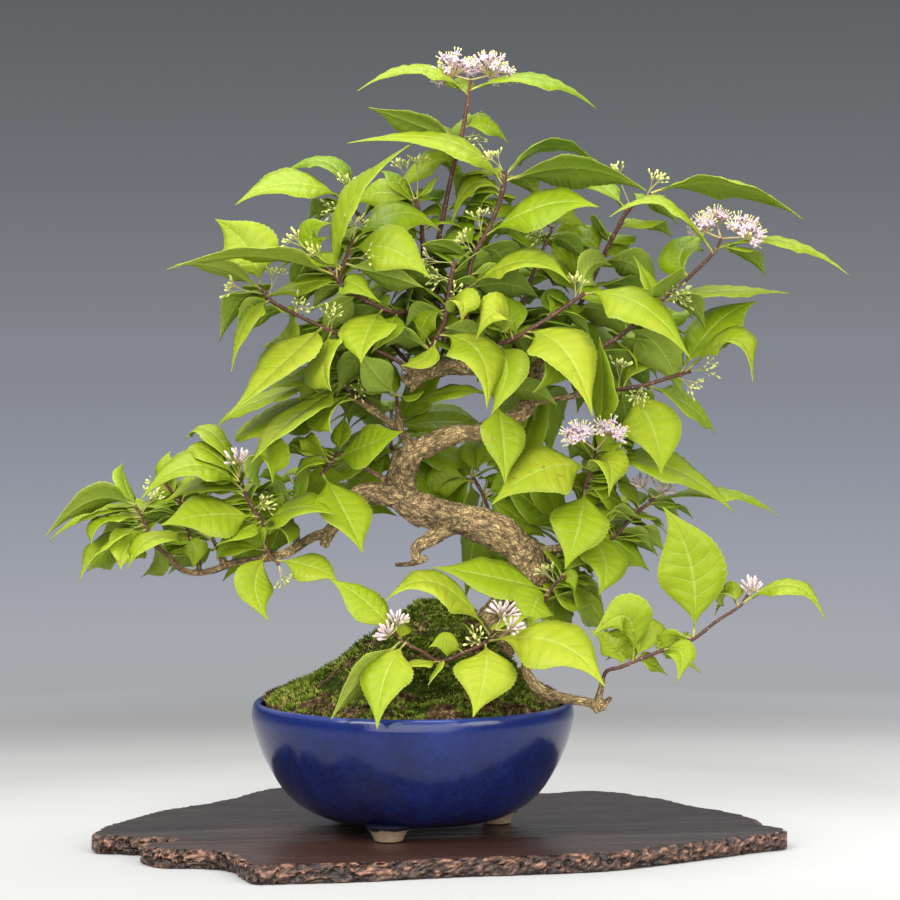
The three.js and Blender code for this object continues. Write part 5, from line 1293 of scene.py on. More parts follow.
def back_leaf_rows(start, points, draw):
    """Leaves in pairs along a shoot at the back, and a single one at its end."""
    rows = []
    for k, point in enumerate(points[1:]):
        for side in ((-1, 1) if k < 2 else (draw(-0.3, 0.3),)):
            heading = start["heading"] + side * draw(48, 78) + (k % 2) * 12
            length = draw(36, 50) * (0.85 if k == 2 else 1)
            out = radial(heading, draw(2, 26))
            middle = point + out * length * 0.5
            tip = point + out * length * 0.96
            middle[2] += length * 0.08
            tip[2] -= length * draw(0.1, 0.32)
            rows.append((k + 1, middle, tip, length * draw(0.2, 0.4)))
    return rows


def build_back_shoots(masters, finishes, sizes, gaps):
    draw = Draw()
    for number, start in enumerate(BACK_SHOOTS):
        direction = radial(start["heading"], start["climb"])
        root = spot(*start["at"])
        end = root + direction * start.get("stub", STUB_LENGTH)
        points = [end + direction * SHOOT_GAP]
        for share in (0.45, 0.72, 1):
            sway = np.array([draw(-3, 3), draw(-2, 2), share * share * 8 + draw(-1, 1)])
            points.append(root + direction * start["reach"] * share + sway)
        rows = back_leaf_rows(start, points, draw)
        neighbours = neighbours_of(points)
        leaves = fitted_leaves(start["name"], spread_roots(points, neighbours, rows), rows, outward)
        chance = random.Random(800 + number)
        fillers = filler_leaves(points, neighbours, chance) + gap_leaves(points, gaps)
        radii = [BACK_STEM_RADIUS] + [BACK_STEM_RADIUS - 0.15 * i for i in range(4)]
        strands = [([end - direction * 2, *points], radii)]
        grow_shoot(start["name"], strands, leaves, fillers, [], masters, finishes, sizes, chance)


def build_blooms(finishes, florets):
    plans = {shoot["name"]: shoot for shoot in SHOOTS}
    for number, bloom in enumerate(BLOOMS):
        chance = random.Random(70 + number)
        _, _, strands = stem_plan(plans[bloom["from"]])
        end, heading = lead_in(strands[bloom["end"]][0])
        fork = end + heading * 2.4
        foot = ([end - heading, fork + heading * 0.3], [0.8, 0.75])
        parts = [tubes("foot", [foot], finishes["Young bark"], fineness=2)]
        for across, height, depth, radius in bloom["heads"]:
            centre = spot(across, height, depth) + (0, 0, HEAD_LIFT)
            parts += flower_head(centre, radius, fork, florets, finishes, chance, bloom.get("open", 0.0))
        dress(join(parts, bloom["name"].replace("bloom", "blossom")), "blossom", bloom["name"])


# Pot, in millimetres

# Radius and height round the wall of the pot, from the drain hole's underside to the inside floor
POT_PROFILE = [
    (6, 14.6), (30, 14.3), (44, 15.6), (54, 19.8), (63.5, 27.5), (72, 40.5), (77.4, 53), (80.3, 64.5),
    (80.2, 69), (79.2, 71.8), (77.4, 72.7), (75.8, 71.4), (75.2, 67), (75.4, 61), (70.8, 49), (60, 35),
    (42, 23.4), (6, 20.4),
]
FOOT_PROFILE = [
    (0.01, 9.35), (6.1, 9.35), (7.1, 9.8), (7.5, 11), (8.9, 13.6), (10.7, 15.8), (11.7, 16.9), (11.6, 17.6),
    (9.6, 18.4), (0.01, 18.6),
]
FOOT_CIRCLE = 43.5
FOOT_TURNS = (-105, 15, 135)


def turned(name, profile, steps, material, sharp):
    """A round piece spun from a closed profile of radius and height in millimetres."""
    points = [(radius, 0, height) for radius, height in profile]
    edges = [(i, (i + 1) % len(points)) for i in range(len(points))]
    obj = mesh_object(name, points, edges, [], material)
    only(obj)
    bpy.ops.object.mode_set(mode="EDIT")
    bpy.ops.mesh.select_all(action="SELECT")
    bpy.ops.mesh.spin(steps=steps, angle=2 * math.pi, center=(0, 0, 0), axis=(0, 0, 1))
    bpy.ops.mesh.select_all(action="SELECT")
    bpy.ops.mesh.remove_doubles(threshold=0.00002)
    bpy.ops.mesh.normals_make_consistent(inside=False)
    bpy.ops.object.mode_set(mode="OBJECT")
    smooth(obj, sharp)
    return obj


def glaze_finish(colours):
    """Deep cobalt glaze with faint runs and pinholes, a painted highlight round the shoulder, a lighter lip
    where the glaze runs thin and partly as a painted highlight, and painted shade towards the foot.
    """
    finish = Finish("Cobalt glaze", 0.2, 0.42)
    height = finish.height()
    runs = finish.noise(34.0, 5.0, 0.62, finish.mapped(finish.place(), (1, 1, 0.4)))
    depth = finish.blend(runs, 0.65, finish.noise(330.0, 3.0, 0.6), 0.35)
    glaze = finish.shades(depth, colours.glaze, (0.34, 0.45), (0.5, 1), (0.68, 2.0))
    # Painted highlight: a lighter band painted round the shoulder.
    painted_shoulder_highlight = finish.between(height, 0.045, 0.07)
    glaze = finish.mix(finish.times(painted_shoulder_highlight, 0.55), glaze, shade_of(colours.glaze, 1.9))
    # The lip is lighter where the glaze runs thin, and partly as a painted highlight.
    lip = finish.between(height, 0.0705, 0.0724)
    glaze = finish.mix(finish.times(lip, 0.35), glaze, (0.05, 0.08, 0.3))
    # Painted shade: the bowl is painted darker towards its foot.
    foot = finish.between(height, 0.0148, 0.022, 0.75, 0.0)
    glaze = finish.mix(foot, glaze, shade_of(colours.glaze, 0.3))
    pits = finish.between(finish.noise(1400.0, 1.0), 0.68, 0.74)
    finish.colour(finish.mix(finish.times(pits, 0.22), glaze, (0.08, 0.11, 0.3)))
    finish.set("Roughness", finish.between(runs, 0.3, 0.8, 0.12, 0.26))
    finish.bump(finish.minus(depth, finish.times(pits, 0.3)), 0.16, 0.0012)
    return finish.material


def clay_finish(colours):
    """Bare stained clay of the feet, with glaze where they meet the bowl, painted dark there as painted shade
    under the bowl.
    """
    finish = Finish("Bare clay", 0.75, 0.3)
    grog = finish.noise(700.0)
    clay = finish.shades(grog, colours.clay, (0.3, 0.7), (0.7, 1.2))
    stain = finish.between(finish.noise(120.0), 0.5, 0.75)
    clay = finish.mix(finish.times(stain, 0.5), clay, (0.2, 0.13, 0.08))
    ragged = finish.between(finish.noise(160.0, 2.0), 0.3, 0.7, -0.0006, 0.0006)
    glazed = finish.between(finish.plus(finish.height(), ragged), 0.0148, 0.0158)
    # The glaze on the feet is painted far darker than the bowl's, as painted shade under the bowl.
    finish.colour(finish.mix(glazed, clay, shade_of(colours.glaze, 0.2)))
    finish.bump(grog, 0.35, 0.0003)
    return finish.material


def build_pot(colours):
    course, _ = spline(POT_PROFILE[:-1], 4)
    bowl = turned("glazed_bowl", [*course, POT_PROFILE[-1]], 144, glaze_finish(colours), 60)
    dress(bowl, "glaze", "pot")
    feet = []
    clay = clay_finish(colours)
    for angle in (math.radians(turn) for turn in FOOT_TURNS):
        foot = turned("foot", FOOT_PROFILE, 40, clay, 40)
        place = Vector((math.cos(angle) * FOOT_CIRCLE * MM, math.sin(angle) * FOOT_CIRCLE * MM, 0))
        foot.data.transform(Matrix.Translation(place))
        feet.append(foot)
    dress(join(feet, "clay_feet"), "glaze", "pot")


def finish_hidden_solids():
    """The soil and the drain mesh keep their solids and get their finish."""
    earth = Finish("Potting soil", 0.95, 0.2)
    grains = earth.add("TexVoronoi", {"Vector": earth.place(), "Scale": 420.0}).outputs
    crumbs = earth.ramp(earth.noise(240.0), (0.35, (0.03, 0.018, 0.01)), (0.7, (0.24, 0.15, 0.08)))
    earth.colour(earth.mix(0.3, crumbs, grains["Color"], "MULTIPLY"))
    earth.bump(grains["Distance"], 0.8, 0.001)
    net = Finish("Drain mesh", 0.55)
    net.colour(net.ramp(net.noise(900.0, 2.0), (0.3, (0.02, 0.02, 0.022)), (0.7, (0.06, 0.06, 0.065))))
    for node, finish in (("soil", earth), ("drain_mesh", net)):
        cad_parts[node].data.materials.clear()
        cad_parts[node].data.materials.append(finish.material)


# Slab, in millimetres: heights of its rim's rows below the top, and how far each row is set in

RIM_LEVELS = (0, 0.7, 1.8, 3.0, 4.2, 5.4, 6.5, 7.5, 8.3, 8.8)
RIM_INSETS = (1.8, 0.9, 0.5, 0.35, 0.3, 0.3, 0.35, 0.6, 1.1, 1.9, 3.4)
TOP_ROW = 10
CHIPPED_ROW = 6
WORN_ROW = 5


def lacquer_finish(colours):
    """Dark lacquered top with fine grain, browner round the pot, under a satin sheen."""
    finish = Finish("Dark lacquer", 0.3)
    place = finish.place()
    grain = finish.noise(9.0, 6.0, 0.65, finish.mapped(place, (1, 14, 6)), 0.5)
    fine = finish.noise(60.0, 4.0, 0.7, finish.mapped(place, (1, 18, 1)))
    tone = finish.blend(grain, 0.6, fine, 0.4)
    dark = finish.shades(tone, colours.lacquer, (0.36, 0.4), (0.5, 1), (0.64, 2.0))
    centred = finish.length(finish.mapped(place, (0.8, 1, 1), (0.01, 0.05, 0.0)))
    around = finish.plus(centred, finish.between(finish.noise(22.0), 0.3, 0.7, -0.03, 0.03))
    brown = finish.mix(0.55, dark, (0.062, 0.026, 0.015))
    finish.colour(finish.mix(finish.between(around, 0.05, 0.12, 0.9, 0.12), dark, brown))
    finish.set("Roughness", finish.between(fine, 0.3, 0.7, 0.22, 0.4))
    finish.bump(tone, 0.5, 0.0007)
    return finish.material


def carved_finish(colours):
    """Gouged reddish brown rim, with a painted highlight on its ridges, painted shade almost black in its
    hollows and painted shade towards its foot.
    """
    finish = Finish("Carved rim", 0.3)
    place = finish.mapped(finish.place(), (150, 150, 320))
    bent = finish.vectors("MULTIPLY", finish.swirls(place, 0.35, 1.0), (3.5, 3.5, 3.5))
    bent = finish.vectors("ADD", place, bent)
    gouges = finish.add("TexVoronoi", {"Vector": bent, "Scale": 1.0}).outputs["Distance"]
    height = finish.minus(finish.times(finish.attribute("relief"), 0.4), finish.times(gouges, 1.2))
    height = finish.plus(height, finish.between(finish.noise(420.0, 3.0, 0.6), 0.3, 0.7, -0.2, 0.2))
    # Painted light: ridges are painted lighter as highlights, hollows almost black as painted shade.
    light = finish.between(height, -1.1, 0.25)
    wood = finish.shades(light, colours.carved_edge, (0.0, 0.1), (0.3, 0.45), (0.65, 1), (1.0, 2.9))
    # Painted shade: the rim is painted darker towards its foot.
    low = finish.between(finish.height(), 0.0, 0.005, 0.7, 0.0)
    finish.colour(finish.mix(low, wood, shade_of(colours.carved_edge, 0.15)))
    finish.bump(height, 0.9, 0.0016)
    return finish.material


def closed_outline(points, steps):
    """A smooth closed line through points, seen from above."""
    course, _ = spline([points[-1], *points, points[0], points[1]], steps)
    return course[steps:steps * (len(points) + 1)]


def carve(x, y, outwards, row, level, depth):
    """Where a place on the slab's outline comes to lie in one row of its rim, and how it is gouged."""
    place = Vector((x, y, level * 1.6)) * 0.22
    swirl = Vector((uneven(place, 0.7) * 2.2, 0, noise.noise(place * 0.7 + Vector((9, 0, 0))) * 1.6))
    ridge = 1 - 4.2 * abs(noise.noise(place + swirl))
    relief = max(ridge, -0.9) + 0.45 * uneven((x, y, level * 1.3), 0.45)
    lip = 1.1 * uneven((x, y, 40), 0.09) + 0.7 * uneven((x, y, 9), 0.25)
    inward = RIM_INSETS[row] * (1 + (0.55 * lip if row > CHIPPED_ROW else 0))
    inward = max(inward - depth * relief * (0 < row < TOP_ROW), 0.05)
    worn = (0.5 * abs(lip) + 0.35 * max(-relief, 0)) * (WORN_ROW < row < TOP_ROW) * min(row - WORN_ROW, 3) / 3
    return (x - outwards[0] * inward, y - outwards[1] * inward, level - worn), relief


def build_slab(sizes, colours):
    """The stand: a round of many corners laid on the outline, raised in steps, then gouged."""
    outline = closed_outline(SLAB_OUTLINE, 24)
    count = len(outline)
    bpy.ops.mesh.primitive_circle_add(vertices=count, radius=0.1, fill_type="NGON")
    slab = bpy.context.object
    around = np.roll(outline, -1, axis=0) - np.roll(outline, 1, axis=0)
    outwards = unit(np.c_[around[:, 1], -around[:, 0]])
    levels = (*RIM_LEVELS, sizes.slab_thickness / MM)
    only(slab)
    bpy.ops.object.mode_set(mode="EDIT")
    bpy.ops.mesh.select_all(action="SELECT")
    for low, high in zip(levels, levels[1:]):
        bpy.ops.mesh.extrude_region_move(TRANSFORM_OT_translate={"value": (0, 0, (high - low) * MM)})
    bpy.ops.object.mode_set(mode="OBJECT")
    spots = places_of(slab)
    rows = np.argmin(np.abs(spots[:, 2:3] / MM - np.array(levels)), axis=1)
    turn = np.arctan2(spots[:, 1], spots[:, 0]) % (2 * math.pi)
    order = np.round(turn / (2 * math.pi) * count).astype(int) % count
    relief = np.zeros(len(spots))
    for i, (k, row) in enumerate(zip(order, rows)):
        spots[i], relief[i] = carve(*outline[k], outwards[k], row, levels[row], sizes.carving_depth / MM)
    move_vertices(slab, spots)
    write_values(slab, "relief", relief)
    slab.data.materials.append(lacquer_finish(colours))
    slab.data.materials.append(carved_finish(colours))
    for face in slab.data.polygons:
        face.material_index = 0 if len(face.vertices) > 4 else 1
    slab.name = slab.data.name = "carved_slab"
    smooth(slab, 55)
    dress(slab, "lacquered_wood", "stand_slab")


# Moss, in millimetres

MOSS_RADIUS = 74.0
MOSS_RINGS = 74
MOSS_SIDES = 220
MOSS_FLOOR = 6
SKIRT_RADIUS = 78
SKIRT_RISE = 10.5
RIM_HEIGHT = 71.5
MOUND_PEAK = 42.0
MOUND_CENTRE = (18.0, 2.0)
MOUND_SPREAD = (84.0, 46.0, 56.0)
SPRIGS_IN_TUFT = 5
BARE_PATCH = 0.42


def moss_height(x, y):
    """Height of the moss: a skirt that falls to the rim, and the mound that the trunk stands in."""
    radius = np.hypot(x, y)
    dip = 3 * np.maximum(0, -y / MOSS_RADIUS) ** 2
    skirt = RIM_HEIGHT + SKIRT_RISE * (1 - np.minimum(radius / SKIRT_RADIUS, 1) ** 6) - dip
    wide = np.where(x < MOUND_CENTRE[0], MOUND_SPREAD[0], MOUND_SPREAD[1])
    away = np.hypot((x - MOUND_CENTRE[0]) / wide, (y - MOUND_CENTRE[1]) / MOUND_SPREAD[2])
    mound = np.where(away < 1, MOUND_PEAK * np.cos(np.pi / 2 * np.minimum(away, 1)) ** 2, 0)
    tufts = 1.3 * np.sin(x * 0.21 + 1) * np.cos(y * 0.17 + x * 0.06)
    return skirt + mound + tufts * np.minimum(1, (SKIRT_RADIUS - radius) / 20)


def rough(x, y):
    """Lumps of the moss cushions and the crumbs between them, which end at the rim."""
    place = (x, y, 0.0)
    lumps = 1.5 * (uneven(place, 0.11) + 0.5 * uneven(place, 0.27)) + 0.5 * uneven(place, 0.8)
    return min(1.0, (MOSS_RADIUS + 2 - math.hypot(x, y)) / 10) * lumps


def moss_finish(name, colours, bare_share):
    """Moss in shades of green, with crumbs of soil where it is bare, most near the rim."""
    finish = Finish(name, 0.9, 0.08)
    patches = finish.noise(26.0)
    crumbs = finish.noise(330.0, 4.0, 0.7)
    tone = finish.blend(crumbs, 0.6, patches, 0.4)
    tone = finish.plus(tone, finish.times(finish.attribute("tone"), 0.34))
    green = finish.ramp(tone, (0.36, shade_of(colours.moss, 0.15)), (0.52, colours.moss),
                        (0.72, shade_of(colours.moss, 3.8)), (0.9, (0.36, 0.36, 0.08)))
    soil = finish.ramp(crumbs, (0.38, (0.012, 0.009, 0.005)), (0.55, (0.1, 0.06, 0.028)),
                       (0.68, (0.42, 0.28, 0.13)))
    rim = finish.length(finish.vectors("MULTIPLY", finish.place(), (1, 1, 0)))
    bare = finish.plus(finish.noise(60.0), finish.between(rim, 0.045, 0.073, 0.0, 0.13))
    bare = finish.between(bare, 0.62 - bare_share * 0.3, 0.7 - bare_share * 0.3)
    finish.colour(finish.mix(bare, green, soil))
    finish.bump(crumbs, 0.8, 0.0012)
    return finish.material


def build_cushion(colours):
    """The cushion of moss and crumbs: a turned disc that follows the mound, with a closed underside."""
    profile = [(0.01 + MOSS_RADIUS * r / MOSS_RINGS, MOSS_FLOOR) for r in range(MOSS_RINGS + 1)]
    profile += [(MOSS_RADIUS * 0.985, 0), (0.01, 0)]
    cushion = turned("moss_cushion", profile, MOSS_SIDES, moss_finish("Moss and crumbs", colours, 0.45), 180)
    spots = places_of(cushion) / MM
    heights = moss_height(spots[:, 0], spots[:, 1])
    for place, height in zip(spots, heights):
        x, y, level = place
        place[2] = height - 1.2 + rough(x, y) if level > MOSS_FLOOR / 2 else height - MOSS_FLOOR
    move_vertices(cushion, spots)
    smooth(cushion)
    dress(cushion, "moss", "moss")


def tuft_base(x, y):
    """The foot of a tuft on the cushion, and which way is up there."""
    here = moss_height(np.array(x), np.array(y))
    slope_x = float(moss_height(np.array(x + 1), np.array(y)) - here)
    slope_y = float(moss_height(np.array(x), np.array(y + 1)) - here)
    return np.array([x, y, float(here) - 1.6 + rough(x, y)]), unit(np.array([-slope_x, -slope_y, 1.0]))


def build_sprigs(sizes, colours):
    """Thousands of tiny pointed moss leaves in tufts over the cushion."""
    chance = random.Random(5)
    points, faces, tones = [], [], []
    for n in range(sizes.moss_sprigs):
        radius = MOSS_RADIUS * math.sqrt((n + 0.5) / sizes.moss_sprigs)
        x = radius * math.cos(n * GOLDEN_TURN) + chance.uniform(-0.8, 0.8)
        y = radius * math.sin(n * GOLDEN_TURN) + chance.uniform(-0.8, 0.8)
        if math.hypot(x, y) > MOSS_RADIUS or uneven((x, y, 3), 0.07) > BARE_PATCH:
            continue
        base, up = tuft_base(x, y)
        tone = chance.uniform(0, 1)
        for _ in range(SPRIGS_IN_TUFT):
            lean = unit(up + np.array([chance.uniform(-0.85, 0.85), chance.uniform(-0.85, 0.85), 0.1]))
            length = sizes.moss_sprig / MM * chance.uniform(0.6, 1.25)
            side = unit(np.cross(lean, (0.3, 0.2, 0.9))) * chance.uniform(0.22, 0.38)
            other = np.cross(lean, side)
            start = len(points)
            waist = base + lean * length * 0.45
            points += [base + side * 0.5, base - side * 0.25 + other * 0.45]
            points += [base - side * 0.25 - other * 0.45, waist + side * 1.1]
            points += [waist - side * 0.55 + other, waist - side * 0.55 - other, base + lean * length]
            for k, j in ((0, 1), (1, 2), (2, 0)):
                faces.append((start + k, start + j, start + 3 + j, start + 3 + k))
                faces.append((start + 3 + k, start + 3 + j, start + 6))
            faces.append((start, start + 2, start + 1))
            # Each sprig is painted darker at its foot as painted shade among the tufts, and lighter at its
            # tip as painted light.
            tones += [tone * 0.6] * 3 + [tone] * 3 + [min(tone + 0.25, 1)]
    sprigs = mesh_object("moss_sprigs", points, [], faces, moss_finish("Moss sprigs", colours, 0.0))
    write_values(sprigs, "tone", tones)
    dress(sprigs, "moss", "moss")


# Stage, in metres

FLOOR_RADIUS = 30
BLACK = (0.0, 0.0, 0.0)
LAMPS_AIM = Vector((0.02, 0, 0.17))

# Painted falloff of light over the floor's colour, and the floor's painted glow, along the logarithm of the
# distance from the object
FLOOR_PAINTED_FALLOFF = (
    (0.0, 1), (0.09, 0.9), (0.15, 0.81), (0.194, 0.67), (0.227, 0.51), (0.26, 0.27), (0.285, 0.13), (0.33, 0),
)
FLOOR_PAINTED_GLOW = (
    (0.05, BLACK), (0.13, (0.2, 0.2, 0.2)), (0.2, (0.39, 0.395, 0.41)), (0.3, (0.385, 0.395, 0.43)),
    (0.424, (0.33, 0.348, 0.4)), (0.606, (0.266, 0.292, 0.342)), (0.78, (0.242, 0.254, 0.296)),
)

# Light of the surroundings from level up to overhead
SURROUNDINGS = (
    (0.0134, (0.203, 0.217, 0.231)), (0.055, (0.155, 0.165, 0.178)), (0.12, (0.111, 0.117, 0.123)),
    (0.2, (0.1, 0.105, 0.11)), (0.45, (0.6, 0.61, 0.63)),
)


def far_share(finish, vector, lift, span):
    """How far off a place is, as a share of a stretch on a logarithmic scale."""
    far = finish.maths("LOGARITHM", finish.length(vector), 10.0)
    return finish.maths("DIVIDE", finish.plus(far, lift), span)


def build_floor(colours):
    """A pale floor painted darker further off, as painted falloff of light, with a painted grey glow far off
    that makes the backdrop.
    """
    floor = Finish("Pale floor", 0.7, 0.0)
    lit = floor.mapped(floor.place(), (0.62, 1, 1), (-0.06, 0.0, 0.0))
    # Painted light: the floor's colour is painted darker with distance, as the light falls off.
    floor.colour(floor.shades(far_share(floor, lit, 1.0, 2.5), colours.floor, *FLOOR_PAINTED_FALLOFF))
    far = far_share(floor, floor.place(), 0.6, 2.1)
    # Painted glow: the floor gives off grey light far off, though it is no lamp.
    floor.set("Emission Color", floor.ramp(far, *FLOOR_PAINTED_GLOW, (1.0, colours.backdrop)))
    floor.set("Emission Strength", 1.0)
    bpy.ops.mesh.primitive_circle_add(vertices=128, radius=FLOOR_RADIUS, fill_type="NGON", location=(0, 0, 0))
    ground = bpy.context.object
    ground.name = "floor"
    ground.data.materials.append(floor.material)


def build_surroundings(colours):
    world = bpy.data.worlds.new("Studio")
    world.use_nodes = True
    bpy.context.scene.world = world
    nodes, links = world.node_tree.nodes, world.node_tree.links
    height = nodes.new("ShaderNodeSeparateXYZ")
    links.new(nodes.new("ShaderNodeTexCoord").outputs["Generated"], height.inputs[0])
    ramp = nodes.new("ShaderNodeValToRGB")
    links.new(height.outputs[2], ramp.inputs[0])
    marks = ramp.color_ramp.elements
    marks[0].color = (*colours.backdrop, 1)
    marks[1].color = (1, 1, 1.02, 1)
    for position, colour in SURROUNDINGS:
        marks.new(position).color = (*colour, 1)
    links.new(ramp.outputs[0], nodes["Background"].inputs[0])


def hang_lights(sizes):
    """Soft lights: name, place, width, depth and power."""
    for name, position, width, depth, power in (
            ("key", (-0.75, -1.0, 1.25), 1.1, 0.8, sizes.key_light),
            ("fill", (1.05, -0.95, 0.8), 0.9, 0.7, sizes.fill_light),
            ("top", (0.05, 0.25, 1.5), 1.5, 1.2, sizes.top_light),
            ("front", (0.0, -1.9, 0.5), 2.2, 1.3, sizes.front_light)):
        light = bpy.data.lights.new(name, "AREA")
        light.shape, light.size, light.size_y, light.energy = "RECTANGLE", width, depth, power
        lamp = linked(name, light)
        lamp.location = position
        lamp.rotation_euler = (LAMPS_AIM - Vector(position)).to_track_quat("-Z", "Y").to_euler()


def place_camera():
    """The photograph's view: level, with the picture shifted down from the eye's height."""
    camera = bpy.data.cameras.new("view")
    camera.lens = camera.sensor_width * -EYE[1] / VIEW_ACROSS
    camera.shift_y = (VIEW_MIDDLE - EYE[2]) / VIEW_ACROSS
    camera.clip_end = 100
    viewer = linked("view", camera)
    viewer.location = Vector(EYE) * MM
    viewer.rotation_euler = (math.pi / 2, 0, 0)
    bpy.context.scene.camera = viewer
    bpy.context.scene.view_settings.view_transform = "Standard"


# What a user may change

def size_property(name, description, default, **limits):
    return FloatProperty(name=name, description=description, default=default, subtype="DISTANCE",
                         unit="LENGTH", precision=5, **limits)


def power_property(name, description, default):
    return FloatProperty(name=name, description=description, default=default, unit="POWER")


def colour_property(name, description, default):
    return FloatVectorProperty(name=name, description=description, default=default, subtype="COLOR", size=3,
                               min=0, max=1)


class BonsaiSizes(bpy.types.PropertyGroup):
    """Sizes of the details and strength of the lights."""
    leaf_thickness: size_property("Leaf thickness", "Thickness of a blade away from its midrib", 0.00032)
    leaf_pucker: size_property("Leaf pucker", "Rise of the blade between its side veins", 0.0007)
    leaf_teeth: FloatProperty(name="Leaf teeth", description="Depth of the teeth, as a share of half a blade",
                              default=0.032, min=0, max=0.3, subtype="FACTOR")
    bud_width: size_property("Bud width", "Greatest width of a closed flower bud", 0.0017)
    bud_length: size_property("Bud length", "Length of a closed flower bud", 0.0029)
    bark_detail: size_property("Bark detail", "Spacing of the mesh over the wood", 0.0008, min=0.0005)
    bark_relief: size_property("Bark relief", "Depth of wrinkles and lumps on the thickest wood", 0.0007)
    carving_depth: size_property("Carving depth", "Depth of the gouges round the slab's rim", 0.0009)
    slab_thickness: size_property("Slab thickness", "Height of the slab's top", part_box("stand_slab")[1].z)
    moss_sprig: size_property("Moss sprig", "Length of one tiny moss leaf", 0.0028)
    moss_sprigs: IntProperty(name="Moss tufts", description="Number of tufts over the mound",
                             default=4100, min=0)
    key_light: power_property("Key light", "Power of the main light", 27)
    fill_light: power_property("Fill light", "Power of the light on the right", 13)
    top_light: power_property("Top light", "Power of the light overhead", 25)
    front_light: power_property("Front light", "Power of the soft light ahead", 34)


class BonsaiColours(bpy.types.PropertyGroup):
    """Main colours of the tree and its pot, as linear values."""
    # The leaf greens are laid out along each leaf's tone, which holds painted light: lightest at the front,
    # darkest inside the crown as painted shade.
    leaf_deep_and_shaded: colour_property("Deep and shaded leaf", "Leaves inside the crown", (0.195, 0.31, 0.006))
    leaf_green: colour_property("Green leaf", "Leaves at the back and sides", (0.285, 0.405, 0.007))
    leaf_fresh_and_lit: colour_property("Fresh and lit leaf", "Leaves towards the front", (0.33, 0.42, 0.014))
    leaf_yellow: colour_property("Yellow leaf", "The lightest young leaves", (0.42, 0.48, 0.026))
    vein: colour_property("Veins", "Midrib and side veins", (0.47, 0.57, 0.1))
    young_bark: colour_property("Young bark", "This year's stems", (0.09, 0.036, 0.023))
    bark: colour_property("Bark", "Bark of the trunk", (0.53, 0.365, 0.165))
    petal: colour_property("Petals", "Lobes of an open floret", (0.94, 0.74, 0.84))
    anther: colour_property("Anthers", "Tips of the stamens", (0.84, 0.68, 0.22))
    bud: colour_property("Buds", "Closed flower buds", (0.68, 0.7, 0.24))
    moss: colour_property("Moss", "Moss on the mound", (0.036, 0.053, 0.004))
    glaze: colour_property("Glaze", "Glaze of the bowl", (0.004, 0.009, 0.06))
    clay: colour_property("Clay", "Bare clay of the feet", (0.25, 0.185, 0.115))
    lacquer: colour_property("Lacquer", "Top of the slab", (0.017, 0.0115, 0.0105))
    carved_edge: colour_property("Carved rim", "Rim of the slab", (0.125, 0.062, 0.04))
    floor: colour_property("Floor", "Floor near the object", (0.45, 0.45, 0.44))
    backdrop: colour_property("Backdrop", "Grey behind the object", (0.227, 0.238, 0.275))


def settings(context):
    return context.scene.bonsai_sizes, context.scene.bonsai_colours


def plant_finishes(colours):
    """Makes the materials of leaves, stems and blossom once, and finds them by their names."""
    if "Leaf face" not in bpy.data.materials:
        greens = (colours.leaf_deep_and_shaded, colours.leaf_green, colours.leaf_fresh_and_lit, colours.leaf_yellow)
        faces = [tuple(green) for green in greens]
        undersides = [tuple(min(channel * 0.82 + lift, 1) for channel, lift in zip(green, (0.07, 0.09, 0.05)))
                      for green in greens]
        leaf_finish("Leaf face", faces, tuple(colours.vein))
        leaf_finish("Leaf underside", undersides, shade_of(colours.vein, 1.05), under=True)
        young_bark_finish("Young bark", colours.young_bark)
        soft_finish("Petiole", (0.34, 0.33, 0.08), 0.5)
        soft_finish("Bud stalk", (0.42, 0.4, 0.14), 0.55)
        soft_finish("Bud", colours.bud, 0.5, glow=0.2)
        soft_finish("Petal", colours.petal, 0.6, 0.12, 300.0, glow=0.4)
        soft_finish("Anther", colours.anther)
        soft_finish("Filament", (0.95, 0.9, 0.86), 0.5, 0.1, glow=0.3)
        soft_finish("Closed floret", (0.84, 0.7, 0.68), 0.5, 0.2, 420.0, glow=0.3)
        soft_finish("Flower stalk", (0.42, 0.34, 0.14), 0.55)
    return bpy.data.materials


def discard(*objects):
    for obj in objects:
        bpy.data.objects.remove(obj)


# Operators

class BONSAI_OT_stage(bpy.types.Operator):
    """Lay the floor, hang the lights and place the camera"""
    bl_idname = "bonsai.stage"
    bl_label = "Stage"

    def execute(self, context):
        sizes, colours = settings(context)
        build_floor(colours)
        build_surroundings(colours)
        hang_lights(sizes)
        place_camera()
        return {"FINISHED"}


class BONSAI_OT_slab(bpy.types.Operator):
    """Carve the wooden slab"""
    bl_idname = "bonsai.slab"
    bl_label = "Slab"

    def execute(self, context):
        build_slab(*settings(context))
        return {"FINISHED"}


class BONSAI_OT_pot(bpy.types.Operator):
    """Turn the glazed bowl and its feet"""
    bl_idname = "bonsai.pot"
    bl_label = "Pot"

    def execute(self, context):
        build_pot(settings(context)[1])
        finish_hidden_solids()
        return {"FINISHED"}


class BONSAI_OT_moss(bpy.types.Operator):
    """Plant the moss on the mound"""
    bl_idname = "bonsai.moss"
    bl_label = "Moss"

    def execute(self, context):
        build_cushion(settings(context)[1])
        build_sprigs(*settings(context))
        return {"FINISHED"}


class BONSAI_OT_wood(bpy.types.Operator):
    """Grow the trunk and its woody branches"""
    bl_idname = "bonsai.wood"
    bl_label = "Trunk and branches"

    def execute(self, context):
        build_wood(*settings(context))
        return {"FINISHED"}


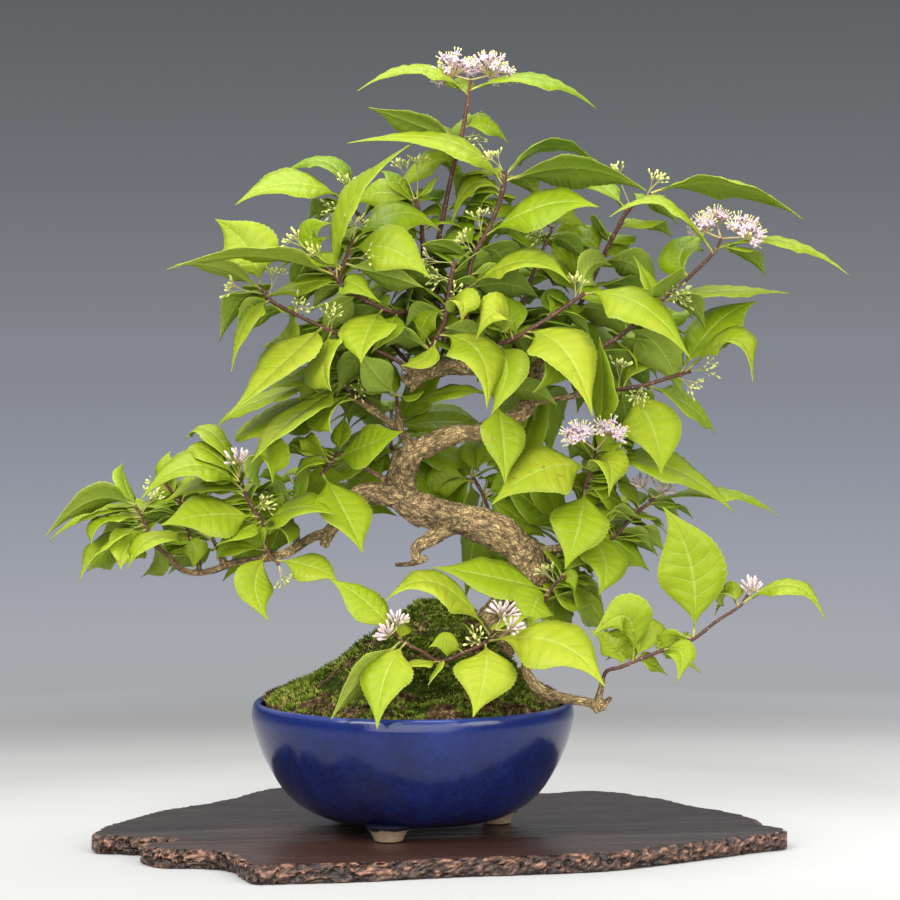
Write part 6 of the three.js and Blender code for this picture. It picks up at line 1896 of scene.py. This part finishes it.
class BONSAI_OT_shoots(bpy.types.Operator):
    """Grow every leafy shoot with its leaves and buds"""
    bl_idname = "bonsai.shoots"
    bl_label = "Leafy shoots"

    def execute(self, context):
        sizes, colours = settings(context)
        finishes = plant_finishes(colours)
        masters = {
            "leaf": master_leaf(finishes, LEAF_STATIONS, LEAF_COLUMNS),
            "filler": master_leaf(finishes, FILLER_STATIONS, FILLER_COLUMNS),
            "buds": master_buds(finishes, sizes),
        }
        gaps = list(GAPS)
        build_back_shoots(masters, finishes, sizes, gaps)
        build_front_shoots(masters, finishes, sizes, gaps)
        discard(masters["leaf"]["object"], masters["filler"]["object"], masters["buds"])
        return {"FINISHED"}


class BONSAI_OT_blossom(bpy.types.Operator):
    """Open the flower heads"""
    bl_idname = "bonsai.blossom"
    bl_label = "Blossom"

    def execute(self, context):
        sizes, colours = settings(context)
        finishes = plant_finishes(colours)
        width, length = sizes.bud_width / MM / 2, sizes.bud_length / MM
        florets = [
            master_floret(finishes),
            master_club("pale club", width * 0.85, length * 1.75, finishes["Closed floret"]),
            master_club("green bud", width, length, finishes["Bud"]),
        ]
        for floret in florets:
            smooth(floret)
        build_blooms(finishes, florets)
        discard(*florets)
        return {"FINISHED"}


class BONSAI_PT_panel(bpy.types.Panel):
    """Buttons and settings of the bonsai"""
    bl_label = "Bonsai"
    bl_idname = "BONSAI_PT_panel"
    bl_space_type = "VIEW_3D"
    bl_region_type = "UI"
    bl_category = "Bonsai"

    def draw(self, context):
        for operator in OPERATORS:
            self.layout.operator(operator.bl_idname)
        for group in settings(context):
            for name in group.bl_rna.properties.keys():
                if name not in ("rna_type", "name"):
                    self.layout.prop(group, name)


OPERATORS = (BONSAI_OT_stage, BONSAI_OT_slab, BONSAI_OT_pot, BONSAI_OT_moss, BONSAI_OT_wood, BONSAI_OT_shoots,
             BONSAI_OT_blossom)
CLASSES = (BonsaiSizes, BonsaiColours, *OPERATORS, BONSAI_PT_panel)


def register():
    for item in CLASSES:
        bpy.utils.register_class(item)
    bpy.types.Scene.bonsai_sizes = PointerProperty(type=BonsaiSizes)
    bpy.types.Scene.bonsai_colours = PointerProperty(type=BonsaiColours)


def unregister():
    del bpy.types.Scene.bonsai_sizes
    del bpy.types.Scene.bonsai_colours
    for item in reversed(CLASSES):
        bpy.utils.unregister_class(item)


def main():
    register()
    bpy.ops.object.select_all(action="DESELECT")
    bpy.ops.bonsai.stage()
    bpy.ops.bonsai.slab()
    bpy.ops.bonsai.pot()
    bpy.ops.bonsai.moss()
    bpy.ops.bonsai.wood()
    bpy.ops.bonsai.shoots()
    bpy.ops.bonsai.blossom()


if __name__ == "__main__":
    main()
